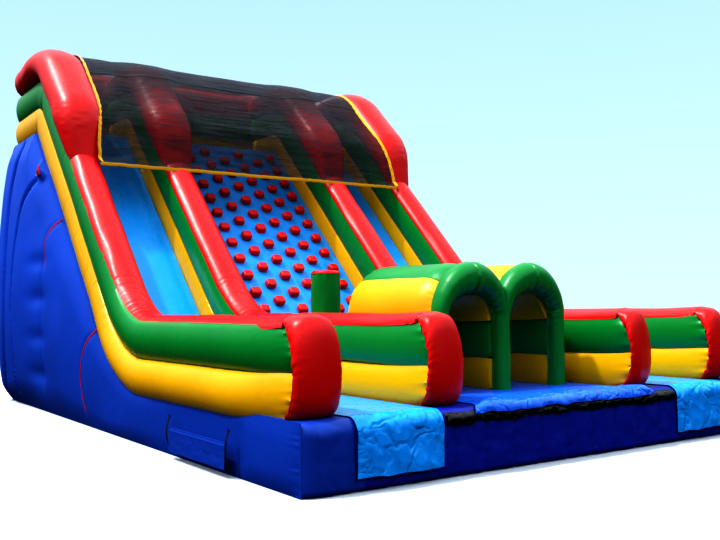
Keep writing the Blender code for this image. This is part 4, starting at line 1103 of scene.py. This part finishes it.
def make_liner(side, word):
    """The slick sheet of a lane: from the platform down the slope, along the run-out and over the front.

    Its slack stands up in crinkles, hardly any where riders slide and most on the flap that hangs in front.
    Over 0.12 beside each edge it is drawn down to a tenth of that height.
    """
    hem_height = 0.125
    front_bend = 0.125
    corners = [(front - 0.012, hem_height), (front - 0.012, floor + 0.004), (bed_front - 0.06, floor + 0.004)]
    flap, flap_normals = bent_line(corners, [front_bend])
    flap_run = distances(flap)[-1]
    first, first_normals = sample(flap, flap_normals, graded(flap_run - 0.02, 0.8, 0.008, 0.03), 0.0)
    rest, rest_normals = bed_line()
    rest, rest_normals = sample(rest, rest_normals, np.arange(0.03, distances(rest)[-1] - 0.05, 0.03), 0.0)
    line = np.vstack([first, rest])
    normals = np.vstack([first_normals, rest_normals])
    run = distances(line)[:, None]
    half = 0.487
    across = np.linspace(-half, half, 120)
    seed = 90 + side
    hanging = 1 - rise(run, 0.42, 0.80)
    slack = 0.013 * crinkle(run / 0.34 + 0.7 * across / half, across[None, :] / 0.17, seed)
    slack = slack + 0.014 * noise(run / 0.30, across[None, :] / 0.20, seed + 2)
    calm = 0.003 * noise(run / 0.8, across[None, :] / 0.35, seed + 3)
    calm = calm + 0.004 * crinkle(run / 0.9, across[None, :] / 0.25, seed + 5) * (1 - rise(run, 2.2, 3.2))
    sewn = 0.10 + 0.90 * rise(half - np.abs(across), 0.0, 0.12)[None, :]
    height = 0.006 + sewn * (0.002 + hanging * (0.020 + slack) + (1 - hanging) * np.maximum(calm, -0.004))
    wander = 0.010 * noise(run / 0.12, side * 3.0, seed + 4) * hanging
    grid = lay(side * 1.5 * wall_x + across, line, normals, height)
    grid[..., 0] += wander
    grid[0, :, 2] += 0.012 * noise(across / 0.15, 0.0, seed + 6)
    piece = sheet_of(f"lane_liner_{word}_sheet", grid, 0.0012)
    dress(piece, finishes["liner_vinyl"], "liner_vinyl", f"lane_liner_{word}")


def make_lane_beds():
    """A soft mattress under each liner, with slow swells."""
    line, normals = bed_line()
    line, normals = sample(line, normals, np.linspace(0.0, distances(line)[-1], 160), 0.0)
    across = np.linspace(-0.499, 0.499, 24)
    for side, word in ((-1, "left"), (1, "right")):
        height = 0.004 * noise(across[None, :] / 0.3, line[:, :1] / 0.5, 101 + side) - 0.004
        x = side * 1.5 * wall_x + across
        top = lay(x, line, normals, height)
        under = lay(x, line, normals, np.full(height.shape, -0.05))
        node = f"lane_bed_{word}"
        dress(slab(f"{node}_mattress", top, under), finishes["liner_vinyl"], "liner_vinyl", node)
        make_liner(side, word)


hold_columns = 7
hold_pitch = 0.34
hold_row_pitch = 0.39
hold_first = 0.30
hold_margin = 0.25
hold_size = 0.165
hold_height = 0.085


def hold_places():
    """(x, distance up the slope) of each hold: rows half a pitch apart, every second place left out."""
    length = (deck + bed_top - floor - bed_lip) / math.sin(slope)
    step = hold_row_pitch / 2
    count = int((length - hold_first - hold_margin) / step) + 1
    rows = hold_first + np.arange(count) * step
    rows = rows[rows - hold_size / 2 > bed_bend * math.tan(slope / 2)]
    places = []
    for r, up in enumerate(rows):
        for c in range(hold_columns):
            if (r + c) % 2 == 0:
                places.append(((c - (hold_columns - 1) / 2) * hold_pitch, up))
    return np.array(places)


def make_climbing_wall():
    """The mattress, drawn down between the holds, and the holds: small rounded blocks sewn onto it."""
    line, normals = bed_line()
    total = distances(line)[-1]
    line, normals = sample(line, normals, np.linspace(0.0, total, 330), 0.0)
    half = wall_x - wall_half - 0.002
    x = np.linspace(-half, half, 130)
    foot_point = np.array([foot + bed_lip - bed_offset / math.cos(slope), floor + bed_lip])
    ahead = np.array([math.cos(slope), math.sin(slope)])
    up = (line - foot_point) @ ahead
    holds = hold_places()
    height = 0.012 * noise(x[None, :] / 0.35, up[:, None] / 0.5, 111)
    height = height + 0.010 * crinkle(x[None, :] / 0.28, up[:, None] / 0.5, 112)
    for hx, hu in holds:
        apart = ((x[None, :] - hx) / 0.13) ** 2 + ((up[:, None] - hu) / 0.13) ** 2
        height = height - 0.020 * np.exp(-apart)
    height = height * rise(line[:, 0], bed_front, bed_front + 0.4)[:, None] - 0.002
    grid = lay(x, line, normals, height)
    under = lay(x, line, normals, np.full(height.shape, -0.05))
    dress(slab("climbing_mattress", grid, under), wall_fabric, "blue_vinyl", "climbing_wall")
    outward = np.array([-math.sin(slope), math.cos(slope)])
    blocks = []
    levels = np.array([-0.012, 0.010, 0.040, 0.066, 0.079, 0.085]) * hold_height / 0.085
    spread = np.array([0.94, 1.0, 1.0, 0.97, 0.88, 0.55])
    angle = np.linspace(0.0, 2 * np.pi, 25)[:-1]
    wide, long = rounded(angle, 5.0)
    for number, (hx, hu) in enumerate(holds):
        turn = 0.10 * noise(number * 1.7, 0.3, 113)
        lean = 0.012 * noise(number * 2.3, 5.5, 114)
        u = wide * math.cos(turn) - long * math.sin(turn)
        v = wide * math.sin(turn) + long * math.cos(turn)
        side = spread[:, None] * hold_size / 2
        along = hu + v[None, :] * side * 0.9 + lean * levels[:, None] / hold_height
        spot = foot_point + ahead * along[..., None] + outward * levels[:, None, None]
        ring = np.concatenate([(hx + u[None, :] * side)[..., None], spot], axis=-1)
        blocks.append(tube(f"hold_{number}", ring))
    dress(merge("climbing_holds", blocks), finishes["red_vinyl"], "red_vinyl")


def make_mat():
    """The landing mat, rumpled at its front, and the black strip that runs along the front edge under it."""
    half = 1.235
    front_bend = 0.055
    corners = [(front - 0.006, floor - front_bend), (front - 0.006, floor + 0.004),
               (front + 3.58, floor + 0.004)]
    edge, normals = bent_line(corners, [front_bend])
    line, normals = sample(edge, normals, graded(distances(edge)[-1], 1.2, 0.010, 0.04), 0.0)
    x = np.linspace(-half, half, 230)
    depth = distances(line)[:, None]
    slack = np.exp(-((depth - 0.15) / 0.45) ** 2)
    height = 0.012 + slack * (0.018 + 0.022 * noise(x[None, :] / 0.16, depth / 0.24, 121)
                              + 0.014 * crinkle(x[None, :] / 0.17, depth / 0.18, 122))
    height = height + 0.003 * noise(x[None, :] / 0.4, depth / 0.4, 123)
    under_tunnels = rise(depth, 0.92, 1.02)
    height = np.maximum(height * (1 - under_tunnels) + 0.006 * under_tunnels, 0.004)
    sewn = 0.10 + 0.90 * rise(half - np.abs(x), 0.0, 0.12)[None, :]
    grid = lay(x, line, normals, 0.004 + sewn * (height - 0.004))
    grid[..., 0] *= 1 + 0.10 * np.exp(-(depth / 0.13) ** 2)
    grid[..., 2] += 0.012 * noise(x[None, :] / 0.12, 0.0, 124) * np.exp(-(depth / 0.05) ** 2)
    mat = dress(sheet_of("landing_mat_sheet", grid, 0.0015), mat_vinyl, "blue_vinyl", "landing_mat")
    corners = [(front - 0.008, 0.500), (front - 0.008, floor + 0.002), (front + 0.10, floor + 0.002)]
    edge, normals = bent_line(corners, [0.10])
    line, normals = sample(edge, normals, np.linspace(0.0, 0.118, 18), 0.0)
    long = np.linspace(-1.73, 1.73, 420)
    along = np.linspace(0.0, 1.0, 18)[:, None]
    puffs = 0.008 + 0.009 * noise(long[None, :] / 0.09, along * 2.0, 126)
    puffs = puffs + 0.007 * crinkle(long[None, :] / 0.14, along * 1.6, 127)
    arched = np.sin(np.pi * np.clip(along + 0.12, 0, 1))
    grid = lay(long, line, normals, np.maximum(puffs, 0.001) * arched + 0.003)
    ragged = 0.014 * noise(long / 0.13, 0.0, 128) + 0.008 * noise(long / 0.04, 0.0, 129)
    grid[..., 2] += ((1 - along) ** 3 + 0.5 * along ** 3) * ragged[None, :]
    strip = dress(sheet_of("edge_strip_band", grid, 0.0015), black_vinyl, "black_webbing", "edge_strip")


# Tunnels and pop-up

tunnel_half = 0.475
arch_low, arch_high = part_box("tunnel_arches")
arch_centre = 0.455
arch_inner = (0.36, 0.285)
arch_outer = (0.54, 0.635)
arch_leg_depth = 0.115
arch_top_depth = 0.165
spring = arch_high.z - arch_outer[1]
vault_lift = 1.06
vault_inside = 0.335
vault_outside = 0.575
vault_bulge = 0.025
vault_thickness = vault_outside + vault_bulge - vault_inside


def make_arches():
    """Two arches side by side, each half of the middle leg belonging to one.

    Going up the outer leg, over and down to the middle leg, the arch spans from an inner half ellipse to an
    outer one, or to the middle plane, whichever comes first; both stand on upright legs.  At the share t
    across that span its depth is that of the leg, growing to that of the top, times
    sqrt(1 - abs(c * t - 1) ** 2.3), where c is 2 on a free arch and eases to 1 on the middle leg.
    """
    middle_y = (arch_low.y + arch_high.y) / 2
    leg = spring - arch_low.z
    bend = (arch_inner[0] + arch_outer[0]) / 2 * np.pi
    run = np.linspace(0.0, 2 * leg + bend, 210)
    turn = np.clip((run - leg) / bend, 0.0, 1.0) * np.pi
    drop = np.where(run < leg, run - leg, np.where(run > leg + bend, leg + bend - run, 0.0))
    inner_edge = np.stack([np.cos(turn) * arch_inner[0], np.sin(turn) * arch_inner[1]], axis=-1)
    outer_edge = np.stack([np.cos(turn) * arch_outer[0], np.sin(turn) * arch_outer[1]], axis=-1)
    past = arch_centre / np.maximum(-outer_edge[:, 0], arch_centre)
    reach = 1 - (1 - past) / (1 - arch_inner[0] / arch_outer[0])
    outer_edge = inner_edge + (outer_edge - inner_edge) * reach[:, None]
    half_depth = arch_leg_depth + (arch_top_depth - arch_leg_depth) * np.sin(turn) ** 1.5
    joined = rise(run, leg + bend * 0.80, leg + bend * 1.02)
    narrow = 2.0 - joined
    t = np.linspace(0.0, 1.0, 15)
    t = 0.5 - 0.5 * np.cos(np.pi * t)
    profile = np.sqrt(np.clip(1 - np.abs(narrow[:, None] * t[None, :] - 1) ** 2.3, 0.0, 1.0))
    profile = np.concatenate([profile, -profile[:, ::-1][:, 1:-1]], axis=1)
    share = np.concatenate([t, t[::-1][1:-1]])
    place = inner_edge[:, None, :] + (outer_edge - inner_edge)[:, None, :] * share[None, :, None]
    for side, word in ((-1, "left"), (1, "right")):
        grid = np.empty((len(run), len(share), 3))
        grid[..., 0] = side * (arch_centre + place[..., 0])
        grid[..., 1] = middle_y + half_depth[:, None] * profile
        grid[..., 2] = spring + drop[:, None] + place[..., 1]
        along = run[:, None]
        around = share[None, :] + 2.0 * np.sign(profile)
        height = 0.008 * noise(along / 0.3, around * 1.5, 131 + side)
        curved = rise(along, leg - 0.1, leg + 0.1) * (1 - rise(along, leg + bend - 0.1, leg + bend + 0.1))
        puckers = noise(along / 0.04, around, 133 + side)
        height = height + 0.020 * curved * np.exp(-share[None, :] / 0.35) * puckers
        height = height + grooves(along, [leg + bend / 2], 0.016, 0.034)
        puckers = noise(along / 0.03, around, 135 + side)
        height = height + 0.010 * fade(along - leg, 0.12) * puckers * np.exp(-share[None, :] / 0.4)
        height = height * (np.abs(profile) < 0.995) * (1 - joined[:, None] * rise(share[None, :], 0.7, 1.0))
        arch = tube(f"tunnel_arch_{word}", pushed(grid, height))
        nodes = ["tunnel_arches"] if side < 0 else []
        dress(arch, finishes["green_vinyl"], "green_vinyl", *nodes)


def carried(outline, y0, y1, seed, axis_x=None, count=70):
    """A closed outline in end view carried from y0 to y1, drawn in by 10 mm and puckered at both ends.

    With an axis given, what lies outside the vault's inside, at the distance r from that axis, is also
    drawn towards it at the front, by 0.10 * (r - inside) / thickness * exp(-(distance / 0.12) ** 1.5).
    """
    outline = np.asarray(outline, float)
    y = np.linspace(y0, y1, count)
    grid = np.empty((count, len(outline), 3))
    grid[..., 0] = outline[None, :, 0]
    grid[..., 1] = y[:, None]
    grid[..., 2] = outline[None, :, 1]
    if axis_x is not None:
        sideways = outline[:, 0] - axis_x
        upwards = (outline[:, 1] - spring).clip(0.0)
        away = np.hypot(sideways, upwards)
        tuck = 0.10 * ((away - vault_inside) / vault_thickness).clip(0.0) / away
        tuck = tuck[None, :] * np.exp(-((y - y0) / 0.12) ** 1.5)[:, None]
        grid[..., 0] -= tuck * sideways
        grid[..., 2] -= tuck * upwards
    around = distances(outline)[None, :]
    ends = fade(y - y0, 0.05) + fade(y - y1, 0.05)
    height = 0.007 * noise(y[:, None] / 0.4, around / 0.3, seed) * (1 - ends[:, None])
    height = height + ends[:, None] * (0.007 * noise(y[:, None] / 0.5, around / 0.035, seed + 1) - 0.010)
    return pushed(grid, height)


def bowed_band(x, half, low, high, squash):
    """End view of a banded tube's outline, bulged at its sides as the walls' tubes are."""
    t = np.linspace(0.0, 1.0, 17)
    width = half * (squash + (1 - squash) * np.sin(np.pi * t) ** 0.7)
    return np.column_stack([np.concatenate([x + width, x - width[::-1]]),
                            np.concatenate([low + (high - low) * t, low + (high - low) * t[::-1]])])


def shell_arc(side, start, end, legs=0.0):
    """End view of a stretch of vault between two angles, with uprights under it if legs is set.

    It bulges between its seams by sin(pi * t) ** 0.6 at the share t, most of it outwards.
    """
    angle = np.linspace(start, end, 33)
    t = np.linspace(0.0, 1.0, 33)
    bulge = np.sin(np.pi * t) ** 0.6
    inside = vault_inside - 0.012 * bulge + 0.012
    outside = vault_outside + vault_bulge * bulge
    centre = side * tunnel_half
    outer = np.column_stack([centre + side * outside * np.cos(angle),
                             spring + vault_lift * outside * np.sin(angle)])
    inner = np.column_stack([centre + side * inside * np.cos(angle), spring + inside * np.sin(angle)])
    outline = np.vstack([outer, inner[::-1]])
    if legs:
        down = np.array([[inner[0, 0], spring - legs], [outer[0, 0], spring - legs]])
        outline = np.vstack([outline, down])
    return outline


def make_tunnels():
    """Banded walls, haunches and vaulted roofs behind the arches, each as a carried outline."""
    corner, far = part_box("tunnel_wall_left_lower")
    y0, y1 = corner.y - 0.07, far.y
    for word in ("left", "middle", "right"):
        for level, colour in (("lower", "yellow_vinyl"), ("upper", "green_vinyl")):
            node = f"tunnel_wall_{word}_{level}"
            low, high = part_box(node)
            outline = bowed_band((low.x + high.x) / 2, (high.x - low.x) / 2, low.z, high.z, seam_share)
            piece = tube(f"{node}_tube", carried(outline, y0, y1, 140 + len(word)))
            dress(piece, finishes[colour], colour, node)
    flat_start = math.radians(50.0)
    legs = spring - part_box("tunnel_haunch_left")[0].z
    haunch = shell_arc(-1, 0.0, flat_start, legs)
    roof = shell_arc(-1, flat_start, math.pi - flat_start)
    long_roof = shell_arc(1, 0.0, math.pi - flat_start, legs)
    rise_angle = np.linspace(0.0, flat_start, 20)
    inside = np.column_stack([vault_inside * np.cos(rise_angle) - tunnel_half,
                              spring + vault_inside * np.sin(rise_angle)])
    valley_angle = np.linspace(flat_start, math.acos(tunnel_half / vault_outside), 8)
    outside = np.column_stack([vault_outside * np.cos(valley_angle) - tunnel_half,
                               spring + vault_outside * vault_lift * np.sin(valley_angle)])
    half_haunch = np.vstack([[inside[0, 0], spring - legs], inside, outside])
    middle_haunch = np.vstack([half_haunch, (half_haunch * [-1.0, 1.0])[::-1][1:]])
    dress(tube("tunnel_haunch_middle_tube", carried(middle_haunch, y0, y1, 154)), finishes["yellow_vinyl"],
          "yellow_vinyl", "tunnel_haunch_middle")
    for word, part, outline, seed, colour, side in (("left", "haunch", haunch, 151, "yellow_vinyl", -1),
                                                    ("left", "roof", roof, 152, "green_vinyl", -1),
                                                    ("right", "roof", long_roof, 153, "yellow_vinyl", 1)):
        node = f"tunnel_{part}_{word}"
        piece = tube(f"{node}_tube", carried(outline, y0, y1, seed, side * tunnel_half))
        dress(piece, finishes[colour], colour, node)


def make_popup():
    """The column, slightly barrelled, and its cap with puckers round the seam."""
    low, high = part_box("popup_column")
    cap_low, cap_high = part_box("popup_cap")
    x, y = (low.x + high.x) / 2, (low.y + high.y) / 2
    radius = 0.95 * (high.x - low.x) / 2
    angle = np.linspace(0.0, 2 * np.pi, 73)[:-1]
    ball = np.linspace(math.radians(3.0), math.pi / 2, 10)
    foot_rings = np.column_stack([radius * np.sin(ball), low.z + radius - radius * np.cos(ball)])
    heights = np.linspace(low.z + radius, cap_low.z, 60)[1:]
    share = (heights - heights[0]) / (heights[-1] - heights[0])
    column = np.vstack([foot_rings, np.column_stack([radius * (1 - 0.035 * share ** 8), heights])])
    cap_share = np.linspace(0.0, 1.0, 14)
    seam_z = cap_low.z + 0.004
    top = np.column_stack([radius * 0.965 * np.cos(cap_share * 1.35) ** 0.5,
                           seam_z + (cap_high.z - seam_z) * np.sin(cap_share * np.pi / 2)])
    for node, profile, colour, seed in (("popup_column", column, "green_vinyl", 161),
                                        ("popup_cap", top, "red_vinyl", 171)):
        grid = np.empty((len(profile), len(angle), 3))
        grid[..., 0] = x + profile[:, 0:1] * np.cos(angle)[None, :]
        grid[..., 1] = y + profile[:, 0:1] * np.sin(angle)[None, :]
        grid[..., 2] = profile[:, 1:2]
        from_seam = np.abs(profile[:, 1:2] - cap_low.z)
        seam = fade(from_seam, 0.03)
        height = 0.009 * seam * noise(angle[None, :] * 9.0 / np.pi * 2, from_seam / 0.2, seed)
        wide = 0.003 * noise(angle[None, :] * 2, profile[:, 1:2] / 0.2, seed + 1) - 0.003
        height = height + wide * (profile[:, 1:2] > low.z + radius)
        dress(tube(f"{node}_skin", pushed(grid, height)), finishes[colour], colour, node, body="popup")


# Fittings

def make_anchor_patch(side, word):
    """A sewn triangle with a puffed middle, and the webbing loop that goes round the ring's upper bar."""
    low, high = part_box(f"anchor_patch_{word}")
    ring_low, ring_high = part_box(f"anchor_ring_{word}")
    face = min(abs(low.x), abs(high.x))
    t = np.linspace(0.0, 1.0, 24)
    across = np.linspace(-1.0, 1.0, 25)
    half = (high.y - low.y) / 2 * (1 - 0.80 * t)
    middle = (low.y + high.y) / 2
    edge = (1 - across[None, :] ** 6) * (1 - (2 * t[:, None] - 1) ** 6)
    puff = 0.003 + 0.007 * edge + 0.002 * crinkle(across[None, :] * 2, t[:, None] * 3, 201)
    grid = np.empty((len(t), len(across), 3))
    grid[..., 0] = side * (face + puff)
    grid[..., 1] = middle + half[:, None] * across[None, :]
    grid[..., 2] = (low.z + (high.z - low.z) * t)[:, None]
    under = grid.copy()
    under[..., 0] = side * (face + 0.0005)
    node = f"anchor_patch_{word}"
    dress(slab(f"{node}_plate", grid, under), finishes["red_vinyl"], "red_vinyl", node)
    bar_x = (abs(ring_low.x) + abs(ring_high.x)) / 2
    wire = 0.005
    turn = np.linspace(-0.5, 0.5, 16) * math.pi
    arm = wire + 0.0025
    spot = [(face + 0.009, ring_high.z - 0.045)]
    spot += [(bar_x + arm * math.cos(a), ring_high.z - wire + arm * math.sin(a)) for a in turn]
    spot += [(face + 0.009, ring_high.z + 0.028)]
    line = np.array([(side * x, middle, z) for x, z in spot])
    loop = ribbon(f"{node}_loop", line, np.tile([0.0, 1.0, 0.0], (len(line), 1)), 0.046, 0.0015)
    dress(loop, finishes["red_vinyl"], "red_vinyl")


def make_strap(word):
    """A carry strap of webbing, sewn flat at both ends and standing out between them."""
    node = f"carry_strap_{word}"
    low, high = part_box(node)
    t = np.linspace(0.0, 1.0, 60)
    reach = high.x - low.x - 0.004
    bow = np.sin(np.pi * np.clip((t - 0.08) / 0.84, 0.0, 1.0)) ** 0.8
    line = np.column_stack([high.x - 0.001 - reach * bow - 0.001 * noise(t / 0.08, 0.0, 211),
                            (low.y + high.y) / 2 + 0.012 * (bow - 0.5), high.z + (low.z - high.z) * t])
    turn = 0.25 * noise(t / 0.3, 0.5, 212)
    across = np.column_stack([np.sin(turn), np.cos(turn), np.zeros(len(t))])
    strap = ribbon(f"{node}_webbing", line, across, high.y - low.y, 0.003)
    dress(strap, finishes["black_webbing"], "black_webbing", node)


def make_flap():
    """The rain flap: a sheet that hangs from its hinge line, on the hinge's axis there so that it turns clear
    of its keeper, and ripples more towards its hem."""
    low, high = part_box("zip_flap")
    y = np.linspace(low.y, high.y, 160)
    z = np.linspace(high.z - 0.003, low.z, 36)
    middle = (low.x + high.x) / 2
    down = (high.z - z)[None, :]
    x = middle - 0.0045 * rise(down, 0.002, 0.014)
    x = x - 0.010 * (down / 0.24) ** 2 * (0.6 + 0.4 * noise(y[:, None] / 0.2, 0.0, 181))
    x = x + 0.003 * crinkle(y[:, None] / 0.12, down / 0.1, 182) * rise(down, 0.01, 0.08)
    grid = np.stack(np.broadcast_arrays(x, y[:, None], z[None, :]), axis=-1)
    piece = dress(sheet_of("zip_flap_sheet", grid, 0.002), finishes["blue_vinyl"], "blue_vinyl", "zip_flap",
                  body="rain_flap")


def make_sleeves():
    """Air sleeves of soft fabric: round tubes with lengthwise folds that grow towards the open end."""
    for side, word in ((-1, "left"), (1, "right")):
        node = f"inlet_sleeve_{word}"
        low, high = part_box(node)
        centre_x, centre_z = (low.x + high.x) / 2, (low.z + high.z) / 2
        radius = (high.x - low.x) / 2
        angle = np.linspace(0.0, 2 * np.pi, 97)[:-1]
        y = np.linspace(low.y, high.y, 40)
        share = ((y - y[0]) / (y[-1] - y[0]))[:, None]
        fold = 0.006 * share * np.sin(11 * angle)[None, :]
        fold = fold + 0.006 * noise(angle[None, :] * 4, share * 6, 191 + side)
        cinch = 0.015 * np.exp(-((share - 0.45) / 0.05) ** 2)
        r = radius - 0.006 + fold - cinch
        layers = []
        for reach in (r, r - 0.003):
            across, up = centre_x + reach * np.cos(angle), centre_z + reach * np.sin(angle)
            layers.append(np.stack(np.broadcast_arrays(across, y[:, None], up), axis=-1))
        outer, inner = layers
        rows, columns = outer.shape[:2]
        rings = np.concatenate([outer, inner[::-1]], axis=0)
        faces = grid_faces(2 * rows, columns, True)
        last = (2 * rows - 1) * columns
        faces += [[last + k, last + (k + 1) % columns, (k + 1) % columns, k] for k in range(columns)]
        piece = finish_mesh(f"{node}_tube", rings.reshape(-1, 3), faces)
        dress(piece, finishes["blue_vinyl"], "blue_vinyl", node)


make_camera()
make_stage()
for number, x in enumerate(wall_xs, start=1):
    end = back if number in (1, 4) else inner_back
    make_wall(number, x, end)
    sink = 0.0 if number in (1, 4) else inner_hood_sink
    piece = tube(f"hood_{number}_tube", hood_rings(x, end, sink, 400 + 10 * number))
    dress(piece, finishes["red_vinyl"], "red_vinyl", f"hood_{number}")
make_canopy()
make_base()
make_rear_panel()
make_rear_tubes()
make_side_panel(-1, "left")
make_side_panel(1, "right")
make_lane_beds()
make_climbing_wall()
make_mat()
make_arches()
make_tunnels()
make_popup()
make_anchor_patch(-1, "left")
make_anchor_patch(1, "right")
make_strap("front")
make_strap("rear")
make_flap()
make_sleeves()
